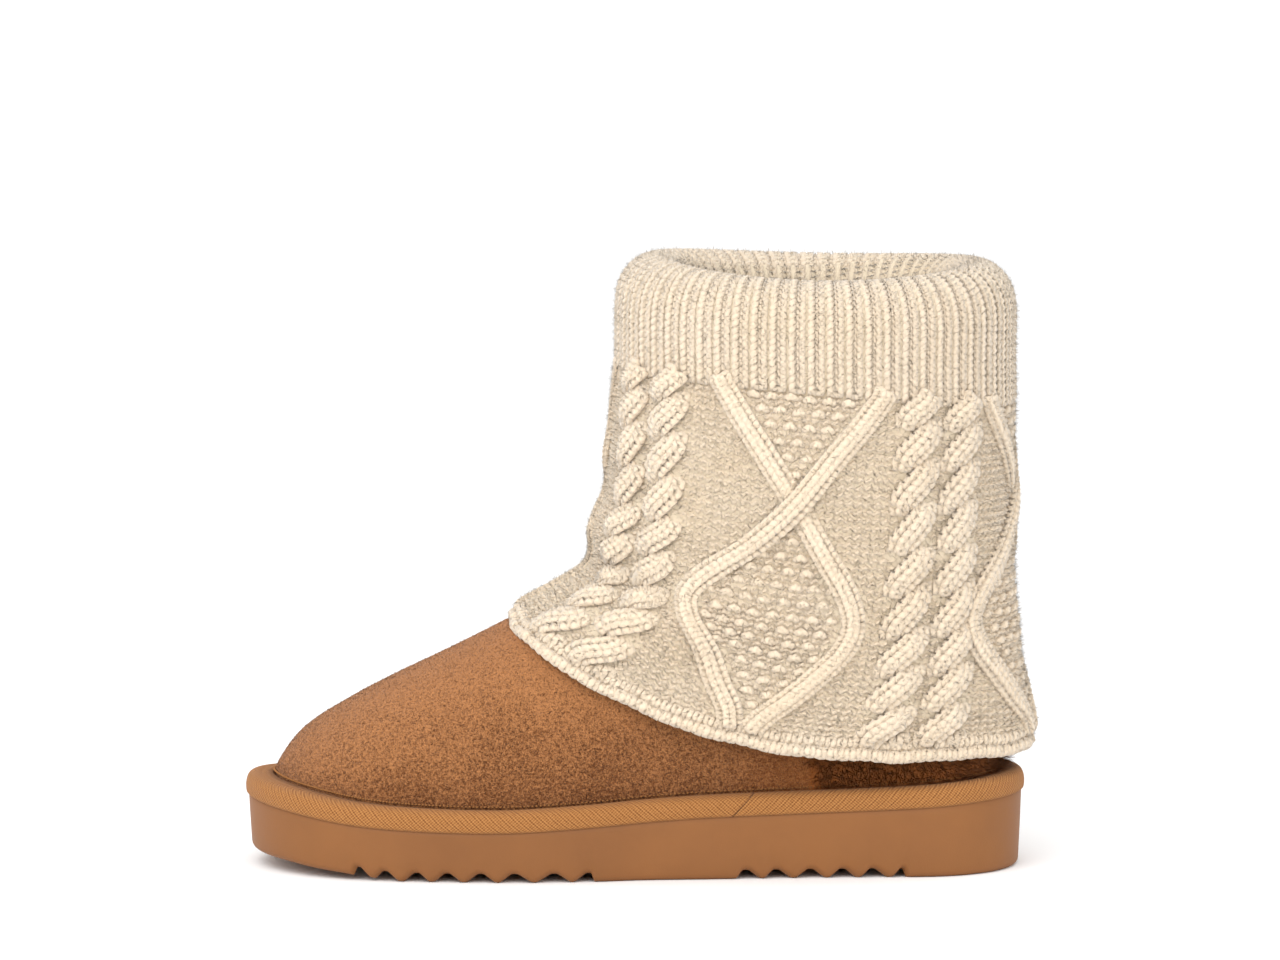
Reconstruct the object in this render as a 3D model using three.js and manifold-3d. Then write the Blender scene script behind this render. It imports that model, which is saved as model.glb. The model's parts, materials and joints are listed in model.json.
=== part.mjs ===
import * as THREE from "three";
import { mergeVertices } from "three/addons/utils/BufferGeometryUtils.js";
import Module from "manifold-3d";

// A left winter boot, in millimetres: a low suede boot with a rubber outsole, a tape-covered rand
// and a knitted cover that is pulled over the shaft and folded into the collar.
// +Z is up, the toe points to -X, and the outer side of the foot is towards -Y.
// The origin is on the floor, under the middle of the sole.

// Driving dimensions
const soleLength = 265;
const ballWidth = 95;
const heelWidth = 70;
const heelHeight = 26; // top of the outsole at the back of the heel
const toeSpring = 5.5;
const toeRound = 50; // how far the toe takes to reach its full width
const heelRound = 36;
const edgeRound = 3; // bottom edge of the outsole
const lugDepth = 3;
const lugFlat = 1.6; // narrowest tread of a lug
const lugRoof = 2.2; // flat at the top of the groove between two lugs
const insideMargin = 8.6; // from the edge of the outsole to the foot of the upper
const upperWall = 2.6;
const seamStep = 0.7;
const shaftWidth = 99; // side to side, at the collar
const randHeight = 7.6;
const randWidth = 8;
const randProud = 1; // how far the rand stands out from the outsole
const lapStep = 0.8; // extra height of the rand where its tape laps over its own end
const lapLength = 10;
const insoleThickness = 4;
const knitWall = 4.2;
const rimHeight = 208; // top of the folded rim of the knit
const collarHeight = rimHeight - 9; // top edge of the upper, inside the fold of the rim
const rimSag = 3.5; // how much lower the rim is at its sides
const rimDepth = 56; // how far the knit reaches down inside
const rimRound = 14; // half the thickness of the padded roll of the rim
const rimRise = 1.2; // height of the roll as a share of its thickness
const liningInset = 16.6; // from the outer face of the rim to the lining below it
const ropeRelief = 1.8;
const ropeWidth = 12.5;
const strandWidth = 8;
const fitGap = 0.3;

// Mesh resolution: points round the boot
const aroundUpper = 48;
const aroundSole = 60;
const aroundKnit = 72;

// Outline of the outsole from toe to heel: ball and heel are shares of those widths,
// middle is how far the centre line lies to the inner side, as a share of the ball width.
const footprint = [
  { at: 0, ball: 0.93, heel: 0, middle: 0.03 },
  { at: 0.12, ball: 0.93, heel: 0, middle: 0.015 },
  { at: 0.25, ball: 0.98, heel: 0, middle: 0 },
  { at: 0.32, ball: 1, heel: 0, middle: -0.005 },
  { at: 0.38, ball: 0.97, heel: 0, middle: -0.016 },
  { at: 0.45, ball: 0.72, heel: 0.24, middle: -0.03 },
  { at: 0.51, ball: 0.5, heel: 0.44, middle: -0.033 },
  { at: 0.6, ball: 0.25, heel: 0.72, middle: -0.033 },
  { at: 0.72, ball: 0.06, heel: 0.93, middle: -0.02 },
  { at: 0.82, ball: 0, heel: 1, middle: -0.01 },
  { at: 0.91, ball: 0, heel: 1, middle: 0 },
  { at: 1, ball: 0, heel: 0.97, middle: 0 },
];

// Top of the outsole from toe to heel, as a share of the heel height
const soleTop = [
  { at: 0, top: 0.92 },
  { at: 0.05, top: 0.85 },
  { at: 0.13, top: 0.735 },
  { at: 0.22, top: 0.672 },
  { at: 0.33, top: 0.66 },
  { at: 0.42, top: 0.705 },
  { at: 0.58, top: 0.815 },
  { at: 0.7, top: 0.855 },
  { at: 0.85, top: 0.91 },
  { at: 1, top: 1 },
];

// Underside of the outsole, as a share of the toe spring
const soleUnder = [
  { at: 0, rise: 1 },
  { at: 0.05, rise: 0.82 },
  { at: 0.085, rise: 0.6 },
  { at: 0.12, rise: 0.42 },
  { at: 0.16, rise: 0.2 },
  { at: 0.2, rise: 0 },
  { at: 1, rise: 0 },
];

// Grooves across the tread: where each starts and ends, and the middle of its roof,
// as shares of the sole's length from the toe.
const grooves = [
  { start: 0.129, roof: 0.138, end: 0.157 },
  { start: 0.157, roof: 0.173, end: 0.194 },
  { start: 0.194, roof: 0.214, end: 0.234 },
  { start: 0.234, roof: 0.254, end: 0.276 },
  { start: 0.276, roof: 0.298, end: 0.32 },
  { start: 0.32, roof: 0.342, end: 0.368 },
  { start: 0.368, roof: 0.394, end: 0.418 },
  { start: 0.418, roof: 0.44, end: 0.448 },
  { start: 0.63, roof: 0.645, end: 0.667 },
  { start: 0.667, roof: 0.685, end: 0.708 },
  { start: 0.708, roof: 0.73, end: 0.752 },
  { start: 0.752, roof: 0.772, end: 0.793 },
  { start: 0.793, roof: 0.811, end: 0.834 },
  { start: 0.834, roof: 0.851, end: 0.857 },
];

// Side view of the last. At each height, as a share of the collar height: the front and the back of
// the upper as shares of the sole's length from the toe, and half the width of the shaft
// as a share of its width at the collar.
const lastProfile = [
  { height: 0.12, front: 0.0325, back: 0.9675, half: 0.36 },
  { height: 0.157, front: 0.0325, back: 0.968, half: 0.36 },
  { height: 0.172, front: 0.0345, back: 0.97, half: 0.365 },
  { height: 0.19, front: 0.0425, back: 0.973, half: 0.37 },
  { height: 0.211, front: 0.0535, back: 0.975, half: 0.375 },
  { height: 0.233, front: 0.0685, back: 0.976, half: 0.38 },
  { height: 0.259, front: 0.0945, back: 0.977, half: 0.385 },
  { height: 0.28, front: 0.121, back: 0.977, half: 0.39 },
  { height: 0.299, front: 0.1455, back: 0.977, half: 0.395 },
  { height: 0.335, front: 0.1975, back: 0.976, half: 0.405 },
  { height: 0.368, front: 0.249, back: 0.974, half: 0.415 },
  { height: 0.402, front: 0.3, back: 0.971, half: 0.425 },
  { height: 0.436, front: 0.349, back: 0.969, half: 0.43 },
  { height: 0.463, front: 0.388, back: 0.967, half: 0.435 },
  { height: 0.495, front: 0.426, back: 0.966, half: 0.44 },
  { height: 0.53, front: 0.4515, back: 0.966, half: 0.45 },
  { height: 0.58, front: 0.463, back: 0.967, half: 0.46 },
  { height: 0.65, front: 0.4705, back: 0.969, half: 0.475 },
  { height: 0.74, front: 0.4785, back: 0.9705, half: 0.49 },
  { height: 0.85, front: 0.486, back: 0.9705, half: 0.5 },
  { height: 1, front: 0.4895, back: 0.969, half: 0.5 },
];

// How far the sides of the upper swell past its foot, by share of the collar height,
// as a share of the margin between the foot of the upper and the edge of the outsole
const swell = [
  { height: 0.1, out: 0 },
  { height: 0.16, out: 0.22 },
  { height: 0.24, out: 0.36 },
  { height: 0.4, out: 0.4 },
  { height: 1, out: 0.4 },
];

// Rings of the knit from its hem to the top of its outer side. Front and back are shares of the
// sole's length from the toe, their heights are shares of the rim height, half is half the width
// at the middle of the ring as a share of the shaft's width, and dip is how far the sides
// hang below the line from front to back, as a share of the rim height.
const knitRings = [
  { at: 0, front: 0.3335, frontUp: 0.412, back: 1.0165, backUp: 0.19, half: 0.45, dip: 0.1 },
  { at: 0.06, front: 0.345, frontUp: 0.434, back: 1.0175, backUp: 0.226, half: 0.452, dip: 0.094 },
  { at: 0.16, front: 0.378, frontUp: 0.466, back: 1.013, backUp: 0.286, half: 0.458, dip: 0.082 },
  { at: 0.26, front: 0.412, frontUp: 0.497, back: 1.0075, backUp: 0.345, half: 0.465, dip: 0.07 },
  { at: 0.36, front: 0.4315, frontUp: 0.525, back: 1.0035, backUp: 0.402, half: 0.478, dip: 0.058 },
  { at: 0.44, front: 0.4285, frontUp: 0.554, back: 1, backUp: 0.447, half: 0.49, dip: 0.048 },
  { at: 0.52, front: 0.4365, frontUp: 0.588, back: 0.9985, backUp: 0.497, half: 0.503, dip: 0.038 },
  { at: 0.6, front: 0.4475, frontUp: 0.622, back: 0.996, backUp: 0.548, half: 0.517, dip: 0.03 },
  { at: 0.72, front: 0.454, frontUp: 0.69, back: 0.993, backUp: 0.622, half: 0.533, dip: 0.018 },
  { at: 0.86, front: 0.461, frontUp: 0.772, back: 0.9965, backUp: 0.703, half: 0.545, dip: 0.006 },
  { at: 1, front: 0.468, frontUp: 0.83, back: 0.9945, backUp: 0.772, half: 0.549, dip: -0.012 },
  { at: 1.22, front: 0.471, frontUp: 0.876, back: 0.992, backUp: 0.845, half: 0.552, dip: -0.006 },
  { at: 1.44, front: 0.472, frontUp: 0.92, back: 0.992, backUp: 0.915, half: 0.554, dip: 0.006 },
];

// Raised ropes and strands of the knit. Turn is the place as a share of the way round, from the
// front by the outer side, climb the share of the height from the hem to the ribbed band.
const ropes = [
  { turn: 0.067 },
  { turn: 0.1125 },
  { turn: 0.342 },
  { turn: 0.3875 },
  { turn: 0.592 },
  { turn: 0.6375 },
  { turn: 0.842 },
  { turn: 0.8875 },
];
const diamonds = [{ turn: 0.237 }, { turn: 0.4925 }, { turn: 0.741 }, { turn: 0.987 }];
const diamondShape = [
  { climb: 0, apart: 0.0075 },
  { climb: 0.12, apart: 0.025 },
  { climb: 0.29, apart: 0.066 },
  { climb: 0.37, apart: 0.073 },
  { climb: 0.45, apart: 0.063 },
  { climb: 0.68, apart: 0 },
  { climb: 1, apart: 0.072 },
];

const suede = new THREE.MeshStandardMaterial({ color: 0x9c6b3d, roughness: 0.95 });
const tape = new THREE.MeshStandardMaterial({ color: 0xa9794c, roughness: 0.9 });
const rubber = new THREE.MeshStandardMaterial({ color: 0xa06e3e, roughness: 0.6 });
const yarn = new THREE.MeshStandardMaterial({ color: 0xe9ddc6, roughness: 1 });
const fleece = new THREE.MeshStandardMaterial({ color: 0xd9c9ab, roughness: 1 });

const wasm = await Module();
wasm.setup();

// Value of one column of a table at a place, on a smooth curve through its rows
function read(table, key, column, place) {
  const last = table.length - 1;
  let row = 0;
  while (row < last - 1 && table[row + 1][key] < place) row += 1;
  const slope = (i) => {
    const low = table[Math.max(i - 1, 0)];
    const high = table[Math.min(i + 1, last)];
    return (high[column] - low[column]) / (high[key] - low[key]);
  };
  const a = table[row];
  const b = table[row + 1];
  const span = b[key] - a[key];
  const t = THREE.MathUtils.clamp((place - a[key]) / span, 0, 1);
  const start = (1 + 2 * t) * (1 - t) ** 2 * a[column] + t * (1 - t) ** 2 * span * slope(row);
  const finish = t * t * (3 - 2 * t) * b[column] + t * t * (t - 1) * span * slope(row + 1);
  return start + finish;
}

// Round end of an outline: 0 at its tip and 1 from the given reach on
function roundEnd(distance, reach, power = 2.1) {
  const left = THREE.MathUtils.clamp(1 - distance / reach, 0, 1);
  return (1 - left ** power) ** (1 / power);
}

// Half the width of the outline before its ends are rounded, and its centre line
function sideAt(distance, inset) {
  const at = THREE.MathUtils.clamp(distance / soleLength, 0, 1);
  const ball = (read(footprint, "at", "ball", at) * ballWidth) / 2;
  const heel = (read(footprint, "at", "heel", at) * heelWidth) / 2;
  return { half: ball + heel - inset, middle: read(footprint, "at", "middle", at) * ballWidth };
}

// The same for the outsole, with its round toe and heel, drawn in by an inset
function footAt(distance, inset) {
  const { half, middle } = sideAt(distance, inset);
  const toeEnd = roundEnd(distance - inset, toeRound - inset);
  const heelEnd = roundEnd(soleLength - distance - inset, heelRound - inset);
  return { half: half * toeEnd * heelEnd, middle };
}

function soleTopAt(distance) {
  return read(soleTop, "at", "top", distance / soleLength) * heelHeight;
}

function soleUnderAt(distance) {
  return Math.max(read(soleUnder, "at", "rise", distance / soleLength), 0) * toeSpring;
}

// Place of point number i of a ring: its share of the way from toe to heel, and its side,
// -1 on the outer side of the foot and 1 on the inner side
function station(i, around) {
  const angle = (i / around) * Math.PI * 2;
  return { share: (1 - Math.cos(angle)) / 2, side: angle < Math.PI ? -1 : 1, sine: Math.sin(angle) };
}

function ring(around, place) {
  return Array.from({ length: around }, (_, i) => place(station(i, around), i));
}

// Ring along the outline of the outsole at a height that follows the sole
function soleRing(around, inset, height) {
  return ring(around, ({ share, side }) => {
    const distance = inset + (soleLength - 2 * inset) * share;
    const { half, middle } = footAt(distance, inset);
    const wide = share === 0 || share === 1 ? 0 : half;
    return [distance - soleLength / 2, middle + side * wide, height(distance)];
  });
}

function geometryOf(points, faces) {
  const geometry = new THREE.BufferGeometry();
  geometry.setAttribute("position", new THREE.Float32BufferAttribute(points.flat(), 3));
  geometry.setIndex(faces.flat());
  return geometry;
}

// Faces between two neighbouring rings, the second above or inside the first
function band(first, second, around) {
  const faces = [];
  for (let i = 0; i < around; i += 1) {
    const j = (i + 1) % around;
    faces.push([first + i, first + j, second + j], [first + i, second + j, second + i]);
  }
  return faces;
}

// Faces across a ring, between its outer and its inner side
function lid(first, around, up) {
  const faces = [];
  for (let i = 0; i < around / 2; i += 1) {
    const a = first + i;
    const b = first + i + 1;
    const c = first + ((around - i) % around);
    const d = first + around - i - 1;
    if (a !== c) faces.push(up ? [a, b, c] : [a, c, b]);
    if (b !== d) faces.push(up ? [b, d, c] : [b, c, d]);
  }
  return faces;
}

// Closed body through rings from its bottom to its top
function closedLoft(rings) {
  const around = rings[0].length;
  const faces = [...lid(0, around, false), ...lid((rings.length - 1) * around, around, true)];
  for (let r = 0; r < rings.length - 1; r += 1) {
    faces.push(...band(r * around, (r + 1) * around, around));
  }
  return geometryOf(rings.flat(), faces);
}

// Ring-shaped body through rings that run round its section and meet the first again
function ringLoft(rings) {
  const around = rings[0].length;
  const next = (r) => ((r + 1) % rings.length) * around;
  const faces = rings.flatMap((_, r) => band(r * around, next(r), around));
  return geometryOf(rings.flat(), faces);
}

function solidOf(geometry) {
  const bare = geometry.clone();
  bare.deleteAttribute("normal");
  bare.deleteAttribute("uv");
  const merged = mergeVertices(bare, 1e-4);
  const mesh = new wasm.Mesh({
    numProp: 3,
    vertProperties: merged.attributes.position.array,
    triVerts: new Uint32Array(merged.index.array),
  });
  return new wasm.Manifold(mesh);
}

function geometryFrom(solid) {
  const mesh = solid.getMesh();
  const geometry = new THREE.BufferGeometry();
  geometry.setAttribute("position", new THREE.BufferAttribute(mesh.vertProperties, 3));
  geometry.setIndex(new THREE.BufferAttribute(mesh.triVerts, 1));
  geometry.computeVertexNormals();
  return geometry;
}

function piece(name, solid, material) {
  const mesh = new THREE.Mesh(geometryFrom(solid), material);
  mesh.name = name;
  return mesh;
}

// Distance from the toe to the front of the upper at a height, and its inverse
function frontAt(height) {
  return read(lastProfile, "height", "front", height / collarHeight) * soleLength;
}

function ridgeHeight(distance) {
  let low = lastProfile[0].height * collarHeight;
  let high = collarHeight;
  for (let step = 0; step < 24; step += 1) {
    const middle = (low + high) / 2;
    if (frontAt(middle) < distance) low = middle;
    else high = middle;
  }
  return high;
}

const archPower = 2.2;
const shaftPower = 2.15;

function backAt(height) {
  return read(lastProfile, "height", "back", height / collarHeight) * soleLength;
}

// Half the width of the upper at a height and a distance from the toe, and its centre line.
// The foot has the outline of the sole under an arch, and the shaft is an oval.
function upperAt(distance, height) {
  const front = frontAt(height);
  const back = backAt(height);
  const share = THREE.MathUtils.clamp((distance - front) / (back - front), 0, 1);
  const { half, middle } = sideAt(distance, insideMargin);
  const out = read(swell, "height", "out", height / collarHeight) * insideMargin;
  const toeEnd = roundEnd(distance - insideMargin, toeRound - insideMargin);
  const heelEnd = roundEnd(back - distance, heelRound - insideMargin);
  const base = soleTopAt(distance);
  const ridge = distance <= front ? height : ridgeHeight(distance);
  const rise = THREE.MathUtils.clamp((height - base) / (ridge - base), 0, 1);
  const arch = (1 - rise ** archPower) ** (1 / archPower);
  const foot = (half + out) * toeEnd * heelEnd * arch;
  const wide = read(lastProfile, "height", "half", height / collarHeight) * shaftWidth;
  const oval = wide * (1 - Math.abs(2 * share - 1) ** shaftPower) ** (1 / shaftPower);
  const start = THREE.MathUtils.lerp(0.4, 0.14, share) * collarHeight;
  const blend = THREE.MathUtils.smoothstep(height, start, 0.46 * collarHeight);
  return {
    half: share === 0 || share === 1 ? 0 : THREE.MathUtils.lerp(foot, oval, blend),
    middle: THREE.MathUtils.lerp(middle, 0, blend),
  };
}

// Point of the upper at a station and a height
function upperPoint({ share, side }, height) {
  const distance = THREE.MathUtils.lerp(frontAt(height), backAt(height), share);
  const { half, middle } = upperAt(distance, height);
  return [distance - soleLength / 2, middle + side * half, height];
}

// Levels of the upper's rings, as shares of the way from its foot to the collar
const upperLevels = [
  0, 0.03, 0.06, 0.09, 0.125, 0.16, 0.2, 0.24, 0.285, 0.33, 0.38, 0.43, 0.49, 0.56, 0.65, 0.8, 1,
];
const seamAt = 0.726; // share of the sole's length, where the quarter laps over the vamp

// Outer side of the upper as rings from its foot to the collar
function upperRings(around) {
  return upperLevels.map((level) =>
    ring(around, (place) => {
      const base = soleTopAt(place.share * soleLength) + fitGap;
      return upperPoint(place, base + level * (collarHeight - base));
    }),
  );
}

// Outward directions of a grid of rings
function outward(rings) {
  const around = rings[0].length;
  return rings.map((points, r) => {
    const below = rings[Math.max(r - 1, 0)];
    const above = rings[Math.min(r + 1, rings.length - 1)];
    return points.map((_, i) => {
      const along = new THREE.Vector3(...points[(i + 1) % around]);
      along.sub(new THREE.Vector3(...points[(i + around - 1) % around]));
      const up = new THREE.Vector3(...above[i]).sub(new THREE.Vector3(...below[i]));
      return along.cross(up).normalize();
    });
  });
}

// Rings moved along their outward directions, by a distance that may depend on the point
function moved(rings, distance) {
  const directions = outward(rings);
  return rings.map((points, r) =>
    points.map((point, i) => {
      const by = typeof distance === "function" ? distance(point, r, i) : distance;
      return directions[r][i].clone().multiplyScalar(by).add(new THREE.Vector3(...point)).toArray();
    }),
  );
}

// Body of the whole upper, grown by a distance, for what fits over or inside it
function upperForm(grow, above = Math.abs(grow)) {
  const rings = moved(upperRings(aroundUpper), grow);
  const foot = rings[0].map(([x, y, z]) => [x, y, z - randHeight]);
  const top = rings[rings.length - 1].map(([x, y, z]) => [x, y, z + above]);
  return solidOf(closedLoft([foot, ...rings, top]));
}

// Room that the wall of the upper takes up, with the clearance round it
function upperRoom() {
  const inside = upperForm(-upperWall - seamStep - 3 * fitGap, knitWall);
  return upperForm(fitGap).subtract(inside);
}

function makeUpper() {
  const seamX = (seamAt - 0.5) * soleLength;
  const step = ([x]) => seamStep * THREE.MathUtils.smoothstep(x, seamX - 1, seamX + 1);
  const base = upperRings(aroundUpper);
  const outer = moved(base, (point) => step(point) - seamStep);
  const inner = moved(base, -upperWall - seamStep);
  const last = inner.length - 1;
  const level = (r) => inner[r].map(([x, y], i) => [x, y, outer[r][i][2]]);
  const between = inner.filter((_, r) => r % 2 === 0 && r > 0 && r < last);
  const lining = [level(0), ...between, level(last)].reverse();
  return piece("upper", solidOf(ringLoft([...outer, ...lining])), suede);
}

// Groove across the tread, a prism from side to side
function grooveCut({ start, roof, end }) {
  const across = ballWidth * 1.4;
  const under = soleUnderAt(roof * soleLength);
  const left = start * soleLength + lugFlat / 2;
  const right = end * soleLength - lugFlat / 2;
  const shape = new THREE.Shape([
    new THREE.Vector2(left, -lugDepth),
    new THREE.Vector2(right, -lugDepth),
    new THREE.Vector2(right, soleUnderAt(right)),
    new THREE.Vector2(roof * soleLength + lugRoof / 2, under + lugDepth),
    new THREE.Vector2(roof * soleLength - lugRoof / 2, under + lugDepth),
    new THREE.Vector2(left, soleUnderAt(left)),
  ]);
  const prism = new THREE.ExtrudeGeometry(shape, { depth: across, bevelEnabled: false });
  prism.rotateX(Math.PI / 2);
  prism.translate(-soleLength / 2, across / 2, 0);
  return solidOf(prism);
}

function makeOutsole() {
  const bottom = (rise) => (distance) => soleUnderAt(distance) + rise;
  const rings = [
    soleRing(aroundSole, 1 + edgeRound, bottom(0)),
    soleRing(aroundSole, 1 + edgeRound * 0.3, bottom(edgeRound * 0.3)),
    soleRing(aroundSole, 1, bottom(edgeRound)),
    soleRing(aroundSole, 0, soleTopAt),
  ];
  const block = solidOf(closedLoft(rings));
  return piece("outsole", grooves.reduce((solid, groove) => solid.subtract(grooveCut(groove)), block), rubber);
}

// Outer side of the rand's section: how far out and up, as shares of its width and height
const randSection = [
  { out: 0.92, up: 0 },
  { out: 1, up: 0.3 },
  { out: 0.99, up: 0.55 },
  { out: 0.86, up: 0.82 },
  { out: 0.62, up: 0.97 },
  { out: 0.35, up: 1 },
];
const lapAt = 0.615; // middle of the lapped join, as a share of the sole's length

// Ring just outside the foot of the upper, for the inner side of the rand
function randInside(up) {
  const clear = 2 * fitGap;
  return ring(aroundSole, (place) => {
    const height = soleTopAt(place.share * soleLength) + fitGap + up * randHeight;
    const [x, y, z] = upperPoint(place, height);
    return [x + clear * (2 * place.share - 1), y - clear * place.sine, z];
  });
}

function makeRand() {
  const outer = randSection.map(({ out, up }) => {
    const bare = soleRing(aroundSole, randWidth * (1 - out) - randProud, (distance) => {
      return soleTopAt(distance) + fitGap + up * randHeight;
    });
    return bare.map(([x, y, z]) => {
      const onLap = Math.abs(x + soleLength * (0.5 - lapAt)) < lapLength / 2 && y < 0;
      return [x, y, onLap && up > 0.8 ? z + lapStep : z];
    });
  });
  return piece("rand", solidOf(ringLoft([...outer, randInside(1), randInside(0)])), tape);
}

function makeInsole() {
  const inset = insideMargin + upperWall + seamStep + fitGap;
  const rings = [
    soleRing(aroundUpper, inset, (distance) => soleTopAt(distance) + fitGap),
    soleRing(aroundUpper, inset, (distance) => soleTopAt(distance) + fitGap + insoleThickness * 0.7),
    soleRing(aroundUpper, inset + 1.2, (distance) => soleTopAt(distance) + fitGap + insoleThickness),
  ];
  const inside = upperForm(-upperWall - seamStep - fitGap);
  return piece("insole", solidOf(closedLoft(rings)).intersect(inside), fleece);
}

const knitPower = 2.1;

// Point of a knit ring: stays at least a wall outside the upper
function knitPoint(at, { share, side }) {
  const value = (column) => read(knitRings, "at", column, at);
  const distance = THREE.MathUtils.lerp(value("front"), value("back"), share) * soleLength;
  const straight = THREE.MathUtils.lerp(value("frontUp"), value("backUp"), share);
  const bow = 4 * share * (1 - share) * (1 + 0.35 * (1 - 2 * share));
  const height = (straight - value("dip") * bow) * rimHeight;
  const round = (1 - Math.abs(2 * share - 1) ** knitPower) ** (1 / knitPower);
  const wide = value("half") * shaftWidth * round;
  const upper = upperAt(distance, Math.min(height, collarHeight));
  const needed = upper.half > 0 ? upper.half + knitWall + 2 * fitGap : 0;
  const half = share === 0 || share === 1 ? 0 : Math.max(wide, needed);
  return [distance - soleLength / 2, upper.middle + side * half, height];
}

// Height of the raised ropes and strands at a place of the knit
function relief(at, i) {
  if (at > 1) return 0;
  const girth = Math.PI * (shaftWidth + 30);
  const bump = (turns, width) => {
    const share = Math.min((Math.abs(turns - Math.round(turns)) * girth) / width, 1);
    return (ropeRelief * (1 + Math.cos(Math.PI * share))) / 2;
  };
  const turn = i / aroundKnit;
  const apart = read(diamondShape, "climb", "apart", at);
  const strands = diamonds.flatMap((middle) => [middle.turn - apart, middle.turn + apart]);
  const raised = ropes.map((rope) => bump(turn - rope.turn, ropeWidth));
  return Math.max(...raised, ...strands.map((strand) => bump(turn - strand, strandWidth)));
}

// The sleeve from its hem up, over the padded roll of the rim and down as a lining, with a slot
// for the collar of the upper
function makeKnitCover() {
  const levels = [
    0, 0.06, 0.14, 0.22, 0.3, 0.38, 0.46, 0.54, 0.62, 0.7, 0.79, 0.88, 0.97, 1.02, 1.22, 1.44,
  ];
  const base = levels.map((at) => ring(aroundKnit, (place) => knitPoint(at, place)));
  const outer = moved(base, (point, r, i) => (r > 0 ? relief(levels[r], i) : 0));
  const inner = moved(base, -knitWall).filter((_, r) => r % 3 === 0);
  const shoulder = base[base.length - 1];
  const rimAt = (inset, drop) =>
    shoulder.map(([x, y], i) => {
      const [inX, inY] = inner[inner.length - 1][i];
      const step = inset / Math.hypot(inX - x, inY - y);
      const crest = rimHeight - rimSag * station(i, aroundKnit).sine ** 2;
      return [x + (inX - x) * step, y + (inY - y) * step, crest - drop];
    });
  const roll = [0.5, 1, 1.5, 2, 2.6, 3.2, 3.8].map((turn) => {
    return rimAt(rimRound * (1 - Math.cos(turn)), rimRound * rimRise * (1 - Math.sin(turn)));
  });
  const lining = [
    rimAt(liningInset, rimRound * 2.6),
    rimAt(liningInset, rimDepth),
    rimAt(liningInset - knitWall, rimDepth),
    rimAt(liningInset - knitWall, rimRound * rimRise * 1.15),
  ];
  const rings = [...outer, ...roll, ...lining, ...inner.reverse()];
  return piece("knit_cover", solidOf(ringLoft(rings)).subtract(upperRoom()), yarn);
}

const boot = new THREE.Group();
boot.add(makeOutsole(), makeRand(), makeInsole(), makeUpper(), makeKnitCover());

export default boot;
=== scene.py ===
import bpy
import json
import math
import numpy as np
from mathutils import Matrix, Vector

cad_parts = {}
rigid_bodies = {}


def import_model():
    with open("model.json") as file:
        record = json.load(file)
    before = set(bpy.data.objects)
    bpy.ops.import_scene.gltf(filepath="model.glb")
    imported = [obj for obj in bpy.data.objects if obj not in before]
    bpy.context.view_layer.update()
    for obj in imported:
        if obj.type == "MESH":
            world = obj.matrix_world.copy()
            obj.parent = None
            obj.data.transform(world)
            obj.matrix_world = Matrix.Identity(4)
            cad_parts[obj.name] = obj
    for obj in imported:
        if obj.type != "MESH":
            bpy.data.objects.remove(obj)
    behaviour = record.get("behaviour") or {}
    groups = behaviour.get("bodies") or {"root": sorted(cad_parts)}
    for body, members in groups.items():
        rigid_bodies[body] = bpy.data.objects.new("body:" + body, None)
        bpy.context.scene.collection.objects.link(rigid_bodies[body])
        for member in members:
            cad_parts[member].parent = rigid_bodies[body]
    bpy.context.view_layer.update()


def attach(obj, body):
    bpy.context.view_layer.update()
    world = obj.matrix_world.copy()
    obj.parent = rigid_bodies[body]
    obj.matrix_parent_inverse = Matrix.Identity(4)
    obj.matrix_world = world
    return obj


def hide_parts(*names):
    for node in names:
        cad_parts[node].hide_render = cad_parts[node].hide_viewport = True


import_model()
rng = np.random.default_rng(7)

# Everything is worked out in millimetres, in the boot's own frame: toe to -X, heel to +X, outer side
# to -Y, floor at 0. A mesh is scaled to metres when it is made.
last = {
    "length": 265, "ballWidth": 95, "heelWidth": 70, "heelHeight": 26, "toeSpring": 5.5,
    "toeRound": 50, "heelRound": 36, "collarHeight": 199, "margin": 8.6, "wall": 2.6,
    "shaftWidth": 99, "endPower": 2.1, "archPower": 2.2, "shaftPower": 2.15, "seamAt": 0.726,
    "footTop": 0.4, "footTopFall": 0.26, "shaftFrom": 0.46,
}
seamX = (last["seamAt"] - 0.5) * last["length"]
knit = {
    "rimHeight": 208, "rimSag": 3.5, "rimOver": 1.6, "rimTilt": 1.1, "rimDepth": 56, "rimRound": 14,
    "rimRise": 1.2, "liningInset": 16.6, "wall": 4.2, "ease": 0.6, "power": 2.1, "bowForward": 0.35,
    "wales": 120, "panelRows": 50, "bandRows": 3, "rowHeight": 2.44, "waleWidth": 3.23,
    "yarnRadius": 1.06, "ribRadius": 1.4, "loopDepth": 0.55, "loopLean": 0.18, "loopReach": 0.72,
    "thinnest": 0.8, "thicker": 0.15, "settle": 1.3, "strandDepth": 0.35, "strandFlat": 0.68,
    "rimTurns": (0.35, 3.8, 18), "rimStraight": 2.6,
    "diamondsAt": (0, 30.7, 60.5, 90), "ropesAt": (8, 13.5, 41, 46.5, 71, 76.5, 101, 106.5),
    "ropeTurn": 5.4, "ropeReach": 1.3, "ropeHalf": 1.25,
}


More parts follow.
